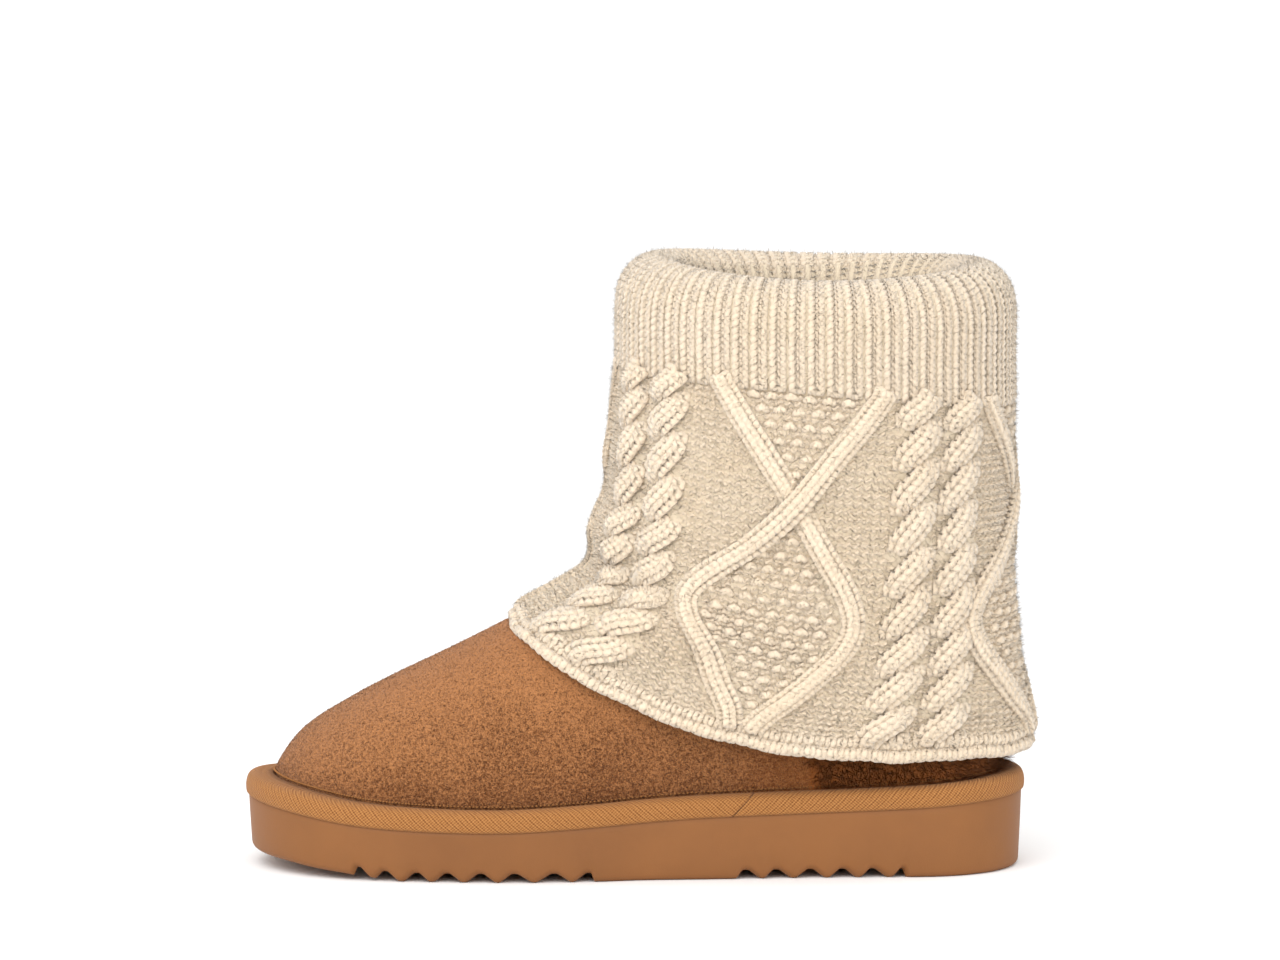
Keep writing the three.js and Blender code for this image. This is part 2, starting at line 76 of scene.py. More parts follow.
# Rows of named columns, read on a smooth curve
class Table:
    def __init__(self, names, *rows):
        self.names = names.split()
        self.values = {name: np.array([row[i] for row in rows], float) for i, name in enumerate(self.names)}

    def read(self, name, place):
        key, value = self.values[self.names[0]], self.values[name]
        end = len(key) - 1
        place = np.clip(np.asarray(place, float), key[0], key[-1])
        low = np.clip(np.searchsorted(key, place, side="right") - 1, 0, end - 1)
        span = key[low + 1] - key[low]
        before, after = np.maximum(np.arange(end + 1) - 1, 0), np.minimum(np.arange(end + 1) + 1, end)
        slope = (value[after] - value[before]) / (key[after] - key[before])
        t = (place - key[low]) / span
        start = (1 + 2 * t) * (1 - t) ** 2 * value[low] + t * (1 - t) ** 2 * span * slope[low]
        return start + t * t * (3 - 2 * t) * value[low + 1] + t * t * (t - 1) * span * slope[low + 1]


# Outline of the outsole from toe to heel, in shares of its widths
footprint = Table("at ball heel middle",
    (0, 0.93, 0, 0.03), (0.12, 0.93, 0, 0.015), (0.25, 0.98, 0, 0), (0.32, 1, 0, -0.005),
    (0.38, 0.97, 0, -0.016), (0.45, 0.72, 0.24, -0.03), (0.51, 0.5, 0.44, -0.033),
    (0.6, 0.25, 0.72, -0.033), (0.72, 0.06, 0.93, -0.02), (0.82, 0, 1, -0.01), (0.91, 0, 1, 0),
    (1, 0, 0.97, 0))
# Top of the outsole's edge in heel heights, and the rise of its underside in toe springs
soleTop = Table("at top",
    (0, 0.92), (0.05, 0.85), (0.13, 0.735), (0.22, 0.672), (0.33, 0.66), (0.42, 0.705),
    (0.58, 0.815), (0.7, 0.855), (0.85, 0.91), (1, 1))
soleUnder = Table("at rise",
    (0, 1), (0.05, 0.82), (0.085, 0.6), (0.12, 0.42), (0.16, 0.2), (0.2, 0), (1, 0))
# Side view of the last: front and back at each share of the collar height, and half the shaft's width
lastProfile = Table("height front back half",
    (0.12, 0.0325, 0.9675, 0.36), (0.157, 0.0325, 0.968, 0.36), (0.172, 0.0345, 0.97, 0.365),
    (0.19, 0.0425, 0.973, 0.37), (0.211, 0.0535, 0.975, 0.375), (0.233, 0.0685, 0.976, 0.38),
    (0.259, 0.0945, 0.977, 0.385), (0.28, 0.121, 0.977, 0.39), (0.299, 0.1455, 0.977, 0.395),
    (0.335, 0.1975, 0.976, 0.405), (0.368, 0.249, 0.974, 0.415), (0.402, 0.3, 0.971, 0.425),
    (0.436, 0.349, 0.969, 0.43), (0.463, 0.388, 0.967, 0.435), (0.495, 0.426, 0.966, 0.44),
    (0.53, 0.4515, 0.966, 0.45), (0.58, 0.463, 0.967, 0.46), (0.65, 0.4705, 0.969, 0.475),
    (0.74, 0.4785, 0.9705, 0.49), (0.85, 0.486, 0.9705, 0.5), (1, 0.4895, 0.969, 0.5))
# How far the upper swells outwards at each share of the collar height, in margins of the sole
swell = Table("height out", (0.1, 0), (0.16, 0.22), (0.24, 0.36), (0.4, 0.4), (1, 0.4))
# Rings of the knit from its hem to the shoulder of its rim
knitRings = Table("at front frontUp back backUp half dip",
    (0, 0.335, 0.412, 1.0165, 0.195, 0.45, 0.085), (0.06, 0.347, 0.434, 1.0175, 0.229, 0.452, 0.082),
    (0.16, 0.392, 0.466, 1.011, 0.282, 0.458, 0.078), (0.26, 0.43, 0.497, 1.0045, 0.343, 0.465, 0.068),
    (0.36, 0.4395, 0.525, 1.0005, 0.401, 0.478, 0.058), (0.44, 0.438, 0.554, 0.9965, 0.447, 0.49, 0.048),
    (0.52, 0.4465, 0.588, 0.994, 0.497, 0.503, 0.038), (0.6, 0.458, 0.622, 0.9915, 0.548, 0.517, 0.03),
    (0.72, 0.4635, 0.69, 0.989, 0.622, 0.533, 0.018), (0.86, 0.468, 0.772, 0.9925, 0.703, 0.545, 0.006),
    (1, 0.4715, 0.83, 0.9935, 0.772, 0.549, -0.012), (1.22, 0.472, 0.876, 0.9925, 0.845, 0.552, -0.006),
    (1.44, 0.472, 0.925, 0.9935, 0.92, 0.555, 0.006))


def smooth(low, high, value):
    t = np.clip((value - low) / (high - low), 0, 1)
    return t * t * (3 - 2 * t)


# From 0 at an end of the foot to 1 at a reach from it, as a rounded end
def roundEnd(distance, reach):
    power = last["endPower"]
    left = np.clip(1 - distance / reach, 0, 1)
    return (1 - left ** power) ** (1 / power)


# How far along the boot an angle lies, and on which side, counted from the front by the outer side
def aroundAt(angle):
    return (1 - np.cos(angle)) / 2, np.where(np.sin(angle) > 0, -1.0, 1.0)


# The angles of a ring's points
def anglesOf(count):
    return np.linspace(0, 2 * np.pi, count, endpoint=False)


# Points in the boot's own frame from a distance behind the toe, a place across and a height
def pointsAt(distance, across, height):
    return np.stack([distance - last["length"] / 2, across, height], -1)


# Points of a ring from its half widths and middles; both sides meet at the front and the back
def ringPoints(angle, distance, half, middle, height):
    half = np.where(np.abs(np.sin(angle)) < 1e-9, 0, half)
    return pointsAt(distance, middle + aroundAt(angle)[1] * half, height)


# Half the width between the rounded ends of the foot, and the middle there
def sideAt(distance, inset):
    at = np.clip(distance / last["length"], 0, 1)
    ball = footprint.read("ball", at) * last["ballWidth"] / 2
    heel = footprint.read("heel", at) * last["heelWidth"] / 2
    return ball + heel - inset, footprint.read("middle", at) * last["ballWidth"]


# Half the width of the outsole and its middle at a distance from the toe, some way inside its edge
def footAt(distance, inset):
    half, middle = sideAt(distance, inset)
    toeEnd = roundEnd(distance - inset, last["toeRound"] - inset)
    heelEnd = roundEnd(last["length"] - distance - inset, last["heelRound"] - inset)
    return half * toeEnd * heelEnd, middle


def soleTopAt(distance):
    return soleTop.read("top", distance / last["length"]) * last["heelHeight"]


def soleUnderAt(distance):
    return np.maximum(soleUnder.read("rise", distance / last["length"]), 0) * last["toeSpring"]


def frontAt(height):
    return lastProfile.read("front", height / last["collarHeight"]) * last["length"]


def backAt(height):
    return lastProfile.read("back", height / last["collarHeight"]) * last["length"]


# Height at which the front of the last passes a distance, found by halving
def ridgeHeight(distance):
    low = np.full(np.shape(distance), lastProfile.values["height"][0] * last["collarHeight"])
    high = np.full(np.shape(distance), float(last["collarHeight"]))
    for _ in range(22):
        middle = (low + high) / 2
        ahead = frontAt(middle) < distance
        low, high = np.where(ahead, middle, low), np.where(ahead, high, middle)
    return high


# Half the width of the upper and its centre line, at a distance from the toe and a height
def upperAt(distance, height):
    front, back = frontAt(height), backAt(height)
    share = np.clip((distance - front) / (back - front), 0, 1)
    half, middle = sideAt(distance, last["margin"])
    out = swell.read("out", height / last["collarHeight"]) * last["margin"]
    toeEnd = roundEnd(distance - last["margin"], last["toeRound"] - last["margin"])
    heelEnd = roundEnd(back - distance, last["heelRound"] - last["margin"])
    base = soleTopAt(distance)
    ridge = np.where(distance <= front, height, ridgeHeight(distance))
    rise = np.clip((height - base) / np.maximum(ridge - base, 1e-6), 0, 1)
    arch = (1 - rise ** last["archPower"]) ** (1 / last["archPower"])
    foot = (half + out) * toeEnd * heelEnd * arch
    wide = lastProfile.read("half", height / last["collarHeight"]) * last["shaftWidth"]
    power = last["shaftPower"]
    oval = wide * (1 - np.abs(2 * share - 1) ** power) ** (1 / power)
    start = (last["footTop"] - last["footTopFall"] * share) * last["collarHeight"]
    blend = smooth(start, last["shaftFrom"] * last["collarHeight"], height)
    ends = (share <= 0) | (share >= 1)
    return np.where(ends, 0, foot + (oval - foot) * blend), middle * (1 - blend)


# Distances behind the toe, half widths and middles of a ring round the last
def lastRing(share, height):
    distance = frontAt(height) + (backAt(height) - frontAt(height)) * share
    return distance, *upperAt(distance, height)


# Point of the outer face of the knit at a ring and an angle from the front, outer side first
def knitPoint(at, angle):
    share = aroundAt(angle)[0]
    value = {name: knitRings.read(name, at) for name in knitRings.names[1:]}
    distance = (value["front"] + (value["back"] - value["front"]) * share) * last["length"]
    straight = value["frontUp"] + (value["backUp"] - value["frontUp"]) * share
    bow = 4 * share * (1 - share) * (1 + knit["bowForward"] * (1 - 2 * share))
    height = (straight - value["dip"] * bow) * knit["rimHeight"]
    roundness = (1 - np.abs(2 * share - 1) ** knit["power"]) ** (1 / knit["power"])
    wide = value["half"] * last["shaftWidth"] * roundness
    half, middle = upperAt(distance, np.minimum(height, last["collarHeight"]))
    needed = np.where(half > 0, half + knit["wall"] + knit["ease"], 0)
    return ringPoints(angle, distance, np.maximum(wide, needed), middle, height)


def unit(vectors):
    return vectors / np.maximum(np.linalg.norm(vectors, axis=-1, keepdims=True), 1e-9)


# Lengths along rows of points, from 0 at the first point of each
def lengthsAlong(points, axis=0):
    steps = np.linalg.norm(np.diff(points, axis=axis), axis=-1)
    return np.concatenate([np.zeros_like(steps.take([0], axis)), np.cumsum(steps, axis)], axis)


# Places on a row of points at wanted lengths along it
def resample(row, lengths, wanted):
    return np.stack([np.interp(wanted, lengths, row[:, k]) for k in range(3)], -1)


# Outward directions of a grid of rings, rows upwards and columns from front by the outer side
def gridNormals(grid):
    along = np.roll(grid, -1, 1) - np.roll(grid, 1, 1)
    return unit(np.cross(along, np.gradient(grid, axis=0)))


# Mesh object from points in millimetres and quads or triangles given as an array of corners
def makeObject(name, points, faces, uv=None, material=None, smoothAngle=None):
    faces = np.asarray(faces, np.int32)
    mesh = bpy.data.meshes.new(name)
    mesh.vertices.add(len(points))
    mesh.vertices.foreach_set("co", (np.asarray(points, np.float64) * 0.001).astype(np.float32).ravel())
    mesh.loops.add(faces.size)
    mesh.loops.foreach_set("vertex_index", faces.ravel())
    mesh.polygons.add(len(faces))
    mesh.polygons.foreach_set("loop_start", np.arange(0, faces.size, faces.shape[1], dtype=np.int32))
    mesh.polygons.foreach_set("use_smooth", np.ones(len(faces), bool))
    if uv is not None:
        layer = mesh.uv_layers.new(name="UVMap")
        layer.data.foreach_set("uv", np.asarray(uv, np.float32)[faces.ravel()].ravel())
    mesh.update(calc_edges=True)
    mesh.validate()
    if smoothAngle:
        mesh.set_sharp_from_angle(angle=math.radians(smoothAngle))
    piece = bpy.data.objects.new(name, mesh)
    bpy.context.scene.collection.objects.link(piece)
    if material:
        mesh.materials.append(material)
    return piece


# Quads between neighbouring rings of points
def ringFaces(rows, columns, closedRows=False):
    count = rows if closedRows else rows - 1
    r, c = np.meshgrid(np.arange(count), np.arange(columns), indexing="ij")
    nextRow, nextColumn = (r + 1) % rows, (c + 1) % columns
    return np.stack([r * columns + c, r * columns + nextColumn,
                     nextRow * columns + nextColumn, nextRow * columns + c], -1).reshape(-1, 4)


# Faces of a closed block: its wall, and a floor and a top that join the outer side to the inner
def blockFaces(rows, around):
    i = np.arange(around // 2)
    a, b, c, d = i, i + 1, (around - i) % around, around - i - 1
    floor = np.stack([a, c, d, b], -1)
    top = np.stack([a, b, d, c], -1) + (rows - 1) * around
    return np.concatenate([ringFaces(rows, around), floor, top])


# A node with its settings and inputs; an input is an output, a node for its first output, or a value
def addNode(tree, kind, settings, inputs, named):
    made = tree.nodes.new(kind)
    for key, value in settings.items():
        setattr(made, key, value)
    for key, value in [*enumerate(inputs), *named.items()]:
        socket = made.inputs[key.replace("_", " ") if isinstance(key, str) else key]
        value = getattr(value, "output", value)
        value = value.outputs[0] if isinstance(value, bpy.types.Node) else value
        if isinstance(value, bpy.types.NodeSocket):
            tree.links.new(value, socket)
        elif value is not None:
            socket.default_value = value
    return made


# Geometry Nodes tree that grows fine fibres from a surface, each one narrow triangle
def hairTree():
    tree = bpy.data.node_groups.new("fibres", "GeometryNodeTree")
    kinds = {"Surface": "Geometry", "Density": "Float", "Length": "Float", "Width": "Float",
             "Lean": "Float", "Seed": "Int", "Material": "Material"}
    sockets = {}
    for name, kind in kinds.items():
        made = tree.interface.new_socket(name=name, in_out="INPUT", socket_type="NodeSocket" + kind)
        sockets[name] = made.identifier
    tree.interface.new_socket(name="Fibres", in_out="OUTPUT", socket_type="NodeSocketGeometry")

    def node(kind, settings, *inputs, **named):
        return addNode(tree, kind, settings, inputs, named)

    given = node("NodeGroupInput", {}).outputs
    points = node("GeometryNodeDistributePointsOnFaces", {}, Mesh=given["Surface"],
                  Density=given["Density"], Seed=given["Seed"])
    flat = node("GeometryNodeMeshCircle", {"fill_type": "NGON"}, Vertices=3, Radius=1.0)
    # Once moved, the triangle is 1.5 long from its root to its tip
    reach = node("ShaderNodeMath", {"operation": "MULTIPLY"}, given["Length"], 0.667)
    size = node("ShaderNodeCombineXYZ", {}, reach, given["Width"], 1.0)
    moved = node("GeometryNodeTransform", {}, Geometry=flat, Translation=(0.5, 0, 0))
    sized = node("GeometryNodeTransform", {}, Geometry=moved, Scale=size)
    raised = node("GeometryNodeTransform", {}, Geometry=sized, Rotation=(0, -math.pi / 2, 0))
    # Fibres lean by as much as Lean, turned any way round, at half to 1.3 of their length
    leaned = node("ShaderNodeMath", {"operation": "MULTIPLY"}, given["Lean"], -1)
    low = node("ShaderNodeCombineXYZ", {}, 0.0, leaned, 0.0)
    high = node("ShaderNodeCombineXYZ", {}, 0.0, -0.3, 6.283)
    angles = node("FunctionNodeRandomValue", {"data_type": "FLOAT_VECTOR"}, low, high, Seed=given["Seed"])
    spin = node("FunctionNodeEulerToRotation", {}, Euler=angles)
    turned = node("FunctionNodeRotateRotation", {"rotation_space": "LOCAL"},
                  Rotation=points.outputs["Rotation"], Rotate_By=spin)
    scale = node("FunctionNodeRandomValue", {"data_type": "FLOAT"}, None, None, 0.5, 1.3, Seed=7)
    kept = node("GeometryNodeStoreNamedAttribute", {"data_type": "FLOAT_VECTOR", "domain": "POINT"},
                Geometry=points.outputs["Points"], Name="up", Value=points.outputs["Normal"])
    placed = node("GeometryNodeInstanceOnPoints", {}, Points=kept, Instance=raised, Rotation=turned,
                  Scale=scale.outputs[1])
    real = node("GeometryNodeRealizeInstances", {}, Geometry=placed)
    done = node("GeometryNodeSetMaterial", {}, Geometry=real, Material=given["Material"])
    node("NodeGroupOutput", {}, Fibres=done)
    return tree, sockets


hairNodes, hairSockets = hairTree()


# Fibres on a surface as one plain mesh; lengths in millimetres, density for each square millimetre
def growHairs(name, surface, **values):
    modifier = surface.modifiers.new("fibres", "NODES")
    modifier.node_group = hairNodes
    scales = {"Density": 1e6, "Length": 1e-3, "Width": 1e-3}
    for key, value in values.items():
        modifier[hairSockets[key]] = value * scales[key] if key in scales else value
    evaluated = surface.evaluated_get(bpy.context.evaluated_depsgraph_get())
    mesh = bpy.data.meshes.new_from_object(evaluated)
    mesh.name = name
    up = np.empty(3 * len(mesh.vertices), np.float32)
    mesh.attributes["up"].data.foreach_get("vector", up)
    mesh.attributes.remove(mesh.attributes["up"])
    mesh.normals_split_custom_set_from_vertices(up.reshape(-1, 3))
    piece = bpy.data.objects.new(name, mesh)
    bpy.context.scene.collection.objects.link(piece)
    surface.modifiers.remove(modifier)
    return piece


# Every piece rides on the one body; a piece that only adds to the boot replaces no node
def dress(piece, node=None):
    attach(piece, "root")
    if node:
        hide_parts(node)


print("shapes ready")


# Materials

# A node's output that takes part in sums; numbers alone are worked out in Python
class Socket:
    def __init__(self, tree, output):
        self.tree, self.output = tree, output

    def math(self, operation, *others, flip=False):
        values = (self, *others)[::-1] if flip else (self, *others)
        return self.tree.node("ShaderNodeMath", {"operation": operation}, *values)

    # A wave with one crest for each unit
    def wave(self):
        return (self * 6.283).math("SINE")

    def __add__(self, other):
        return self.math("ADD", other)

    def __radd__(self, other):
        return self.math("ADD", other)

    def __sub__(self, other):
        return self.math("SUBTRACT", other)

    def __rsub__(self, other):
        return self.math("SUBTRACT", other, flip=True)

    def __mul__(self, other):
        return self.math("MULTIPLY", other)

    def __rmul__(self, other):
        return self.math("MULTIPLY", other)


# A material with one Principled shader, and the nodes that feed it
class Finish:
    def __init__(self, name, **constants):
        self.material = bpy.data.materials.new(name)
        self.material.use_nodes = True
        self.tree = self.material.node_tree
        self.shader = self.tree.nodes["Principled BSDF"]
        for key, value in constants.items():
            self.shader.inputs[key.replace("_", " ")].default_value = value

    def node(self, kind, settings, *inputs, out=0, **named):
        return Socket(self, addNode(self.tree, kind, settings, inputs, named).outputs[out])

    def place(self):
        return self.node("ShaderNodeTexCoord", {}, out="Object")

    def uv(self):
        return self.node("ShaderNodeUVMap", {"uv_map": "UVMap"})

    def parts(self, vector):
        made = self.node("ShaderNodeSeparateXYZ", {}, vector).output.node
        return [Socket(self, output) for output in made.outputs]

    def noise(self, scale, detail=3, roughness=0.55):
        return self.node("ShaderNodeTexNoise", {}, Vector=self.place(), Scale=scale, Detail=detail,
                         Roughness=roughness)

    def spread(self, value, low, high, toLow=0.0, toHigh=1.0):
        return self.node("ShaderNodeMapRange", {}, value, low, high, toLow, toHigh)

    # Colours are web codes, or the outputs of other nodes
    def mix(self, factor, first, second):
        ends = [linear(value) if isinstance(value, str) else value for value in (first, second)]
        skipped = [None] * 5
        return self.node("ShaderNodeMix", {"data_type": "RGBA"}, factor, *skipped, *ends, out=2)

    # Sends the output of a node to an input of the shader
    def feed(self, name, value):
        self.tree.links.new(value.output, self.shader.inputs[name])

    def colour(self, value):
        self.feed("Base Color", value)

    # Bumps on each other; each is a height and how deep it is in metres
    def bump(self, *heights):
        normal = None
        for height, depth in heights:
            normal = self.node("ShaderNodeBump", {}, Strength=1.0, Distance=depth, Height=height,
                               Normal=normal)
        self.feed("Normal", normal)


# Colour of a web code as linear values
def linear(code):
    parts = [int(code[i:i + 2], 16) / 255 for i in (0, 2, 4)]
    return (*(v / 12.92 if v <= 0.04045 else ((v + 0.055) / 1.055) ** 2.4 for v in parts), 1)


# Web colours from dark to light
colours = {
    # The second yarn colours are darker than the yarn: painted shade for the fabric's body deep between the
    # loops
    # The third yarn colours are darker than the yarn: painted shade on the rib, offsetting the light that
    # the upturned rim catches
    "yarn": ("dbc6aa", "e3d2bb"), "yarnPaintedShade": ("d1bfa3", "ddcfb8"), "yarnRibPaintedShade": ("d5c2a7", "dccbb6"),
    # The darkest tape colour is painted shade at the edge of the lapped end
    "suede": ("653919", "bd804f"), "quarter": "ab632b", "tape": ("76461e", "b27c47"), "lapShade": "4a2410",
    "rubber": ("7a4c23", "835328"), "plush": ("b59a72", "dcc8a4"),
}


def yarnFinish(name, tones):
    finish = Finish(name, Roughness=0.95, Sheen_Weight=0.5, Sheen_Roughness=0.5, Specular_IOR_Level=0.15)
    along, across, _ = finish.parts(finish.uv())
    ply = (along * 3.2 + across * 3).wave()
    hair = finish.noise(2600, 2, 0.7)
    cloud = finish.noise(60, 3)
    tone = finish.spread(hair * 0.6 + cloud * 0.4, 0.3, 0.7)
    finish.colour(finish.mix(tone, *tones))
    finish.bump((ply, 0.00006), (hair, 0.0003))
    return finish.material


def suedeFinish():
    finish = Finish("suedeNap", Roughness=0.95, Sheen_Weight=0.12, Sheen_Roughness=0.4,
                    Specular_IOR_Level=0.12)
    grain = finish.noise(1900, 4, 0.75)
    fleck = finish.noise(880, 4, 0.8)
    cloud = finish.noise(26, 4, 0.6)
    x, _, z = finish.parts(finish.place())
    # Painted highlight: lighter higher up on the instep and at the toe, where the light falls; redder
    # behind the seam
    lit = finish.spread(z, 0.03, 0.085, 0, 0.1) + finish.spread(x, -0.13, -0.05, 0.04, 0)
    tone = finish.spread(grain * 0.46 + fleck * 0.44 + cloud * 0.1 + lit, 0.455, 0.585)
    base = finish.mix(tone, *colours["suede"])
    # Redder quarter behind the seam, its own colour; over the 30 mm before the seam the vamp blends towards
    # it as painted shadow under the knit's hem
    seam = seamX * 0.001
    atSeam = finish.spread(x, seam - 0.0012, seam + 0.0004) * 0.42
    behind = atSeam + finish.spread(x, seam - 0.03, seam, 0, 0.48)
    finish.colour(finish.mix(behind, base, colours["quarter"]))
    finish.bump((fleck, 0.0009), (grain, 0.0007))
    return finish.material


# Where the ends of the tape lap on the outer side, in metres, and how far the fold leans back as it rises
tapeLap = {"x": 0.0277, "z": 0.0159, "lean": 0.94}


def tapeFinish():
    finish = Finish("wovenTape", Roughness=0.85, Sheen_Weight=0.05, Specular_IOR_Level=0.2)
    along, across, _ = finish.parts(finish.uv())
    x, y, z = finish.parts(finish.place())
    past = x - tapeLap["x"] - (z - tapeLap["z"]) * tapeLap["lean"]
    outerSide = finish.spread(y, -0.001, 0.001, 1, 0)
    lap = finish.spread(past, -0.0002, 0.0001) * outerSide
    # Painted shade in a narrow dark band along the foot of the lapped end's edge, on the outer side
    lapShade = finish.spread(past, -0.0011, -0.0001) * finish.spread(past, 0, 0.0002, 1, 0) * outerSide
    leftTwill = (along * 0.55 + across * 7).wave()
    rightTwill = (along * 0.55 - across * 7).wave()
    twill = leftTwill * (1 - lap) + rightTwill * lap
    weave = (across * 12).wave() * (along * 0.8).wave()
    fibre = finish.noise(1500, 3, 0.7)
    tone = finish.spread(twill * 0.12 + weave * 0.34 + fibre * 0.6, -0.06, 0.62)
    shade = finish.mix(tone, *colours["tape"])
    finish.colour(finish.mix(lapShade * 0.65, shade, colours["lapShade"]))
    finish.bump((lap, 0.0006), (twill * 0.15 + weave * 0.5, 0.00025), (fibre, 0.0002))
    return finish.material


def rubberFinish():
    finish = Finish("mouldedSole", Roughness=0.55, Specular_IOR_Level=0.35)
    cloud = finish.noise(22, 4, 0.6)
    fine = finish.noise(2200, 2, 0.6)
    tone = finish.spread(cloud, 0.35, 0.65)
    finish.colour(finish.mix(tone, *colours["rubber"]))
    finish.feed("Roughness", finish.spread(cloud, 0.3, 0.7, 0.48, 0.62))
    finish.bump((fine, 0.00005), (cloud, 0.0003))
    return finish.material


def plushFinish():
    finish = Finish("plushLining", Roughness=1.0, Sheen_Weight=0.4)
    tuft = finish.noise(420, 4, 0.7)
    cloud = finish.noise(60, 3)
    tone = finish.spread(tuft * 0.6 + cloud * 0.4, 0.35, 0.65)
    finish.colour(finish.mix(tone, *colours["plush"]))
    finish.bump((tuft, 0.0016))
    return finish.material


yarn = yarnFinish("creamYarn", colours["yarn"])
# Darker yarn as painted shade deep between the loops
yarnPaintedShade = yarnFinish("creamYarnDeep", colours["yarnPaintedShade"])
# Darker yarn for the rib as painted shade, against the light that the rim catches from above
yarnRibPaintedShade = yarnFinish("creamYarnRib", colours["yarnRibPaintedShade"])
suede = suedeFinish()
tape = tapeFinish()
rubber = rubberFinish()
plush = plushFinish()
print("materials ready")


# Outsole
sole = {
    "edgeRound": 2.2, "lugDepth": 3.0, "lugFlat": 1.4, "lugRoof": 2.2, "draft": 1.0,
    "stationEvery": 0.5, "finer": 12, "soft": 0.45,
}
grooves = Table("start roof end",
    (0.129, 0.138, 0.157), (0.157, 0.173, 0.194), (0.194, 0.214, 0.234), (0.234, 0.254, 0.276),
    (0.276, 0.298, 0.32), (0.32, 0.342, 0.368), (0.368, 0.394, 0.418), (0.418, 0.44, 0.448),
    (0.63, 0.645, 0.667), (0.667, 0.685, 0.708), (0.708, 0.73, 0.752), (0.752, 0.772, 0.793),
    (0.793, 0.811, 0.834), (0.834, 0.851, 0.857))


# How far the grooves rise above the tread at a distance from the toe, with softened corners
def treadHeight(distance):
    rise = np.zeros_like(distance)
    starts, roofs, ends = (grooves.values[name] * last["length"] for name in grooves.names)
    flat, roofHalf = sole["lugFlat"] / 2, sole["lugRoof"] / 2
    for start, roof, end in zip(starts, roofs, ends):
        corners = [start + flat, roof - roofHalf, roof + roofHalf, end - flat]
        shape = np.interp(distance, corners, [0, sole["lugDepth"], sole["lugDepth"], 0], left=0, right=0)
        rise = np.maximum(rise, shape)
    return rise


def makeOutsole():
    count = int(last["length"] / sole["stationEvery"])
    even = np.linspace(0, last["length"], count + 1)
    ends = last["length"] * (1 - np.cos(np.linspace(0, np.pi, 161))) / 2
    atEnds = (ends < sole["finer"]) | (ends > last["length"] - sole["finer"])
    between = (even > sole["finer"] - 1) & (even < last["length"] - sole["finer"] + 1)
    stations = np.unique(np.concatenate([even[between], ends[atEnds]]))
    fine = treadHeight(stations[:, None] + np.linspace(-sole["soft"], sole["soft"], 7)[None, :]).mean(1)
    share = stations / last["length"]
    # Inset, height over the tread and share of the way up, from the rounded lower edge to the top
    draft, edge = sole["draft"], sole["edgeRound"]
    levels = [(draft + edge * (1 - math.sin(bend)), edge * (1 - math.cos(bend)), 0)
              for bend in np.linspace(0, np.pi / 2, 5)]
    levels += [(draft * (1 - t), edge * (1 - t), t) for t in (0.3, 0.6, 0.9, 0.965)]
    levels += [(0.25, 0, 1), (3.0, 0, 1)]
    rings = []
    for inset, rise, upward in levels:
        distance = inset + (last["length"] - 2 * inset) * share
        half, middle = footAt(distance, inset)
        half[0] = half[-1] = 0
        low = soleUnderAt(distance) + fine
        high = soleTopAt(distance)
        height = low + rise + (high - low - rise) * upward if upward else low + rise
        outer, inner = pointsAt(distance, middle - half, height), pointsAt(distance, middle + half, height)
        rings.append(np.concatenate([outer, inner[-2:0:-1]]))
    faces = blockFaces(len(rings), len(rings[0]))
    return makeObject("outsoleBody", np.concatenate(rings), faces, material=rubber, smoothAngle=40)


dress(makeOutsole(), "outsole")
print("outsole ready")


# Upper: the suede wall and its plush lining
upperShape = {
    "around": 160, "levels": 70, "lowLevels": 1.35, "above": 0.3, "seamStep": 0.7, "seamFrom": -0.7,
    "seamTo": 0.5, "liningWall": 1.3, "liningOver": 0.6, "coveredStep": 1.6,
    "shownX": (-50, 0, 60, 137), "shownUp": (92, 62, 46, 46),
}


def upperGrid():
    angle = anglesOf(upperShape["around"])[None, :]
    level = np.linspace(0, 1, upperShape["levels"])[:, None] ** upperShape["lowLevels"]
    share = aroundAt(angle)[0]
    base = soleTopAt(share * last["length"]) + upperShape["above"]
    height = base + level * (last["collarHeight"] - base)
    return ringPoints(angle, *lastRing(share, height), height)


# Points and faces of a wall that closes on itself, from grids of rings that follow each other
def shellFaces(grids):
    around = grids[0].shape[1]
    rows = sum(len(g) for g in grids)
    return np.concatenate([g.reshape(-1, 3) for g in grids]), ringFaces(rows, around, closedRows=True)


def makeUpper():
    grid = upperGrid()
    normals = gridNormals(grid)
    atSeam = smooth(seamX + upperShape["seamFrom"], seamX + upperShape["seamTo"], grid[..., 0])
    step = (atSeam - 1) * upperShape["seamStep"]
    # Drawn in where the knit covers it
    shown = np.interp(grid[..., 0], upperShape["shownX"], upperShape["shownUp"])
    step = step - upperShape["coveredStep"] * smooth(shown - 2, shown + 6, grid[..., 2])
    outer = grid + normals * step[..., None]
    inner = grid - normals * (upperShape["seamStep"] + last["wall"] - upperShape["liningWall"])
    lining = grid - normals * (upperShape["seamStep"] + last["wall"] + upperShape["liningOver"])
    for part in (inner, lining):
        part[0, :, 2] = outer[0, :, 2]
        part[-1, :, 2] = outer[-1, :, 2]
    points, faces = shellFaces([outer, inner[::-3]])
    wall = makeObject("upperSuede", points, faces, material=suede)
    points, faces = shellFaces([(inner - normals * 0.1)[::3], lining[::-3]])
    inside = makeObject("upperLining", points, faces, material=plush)
    return wall, inside


upperSuede, upperLining = makeUpper()
dress(upperSuede, "upper")
dress(upperLining, "upper")


# Fibres for each square millimetre, their length and how far they lean
nap = {"Vamp": (1.2, 0.6, 1.3), "Quarter": (3.0, 6.0, 0.75), "width": 0.1}


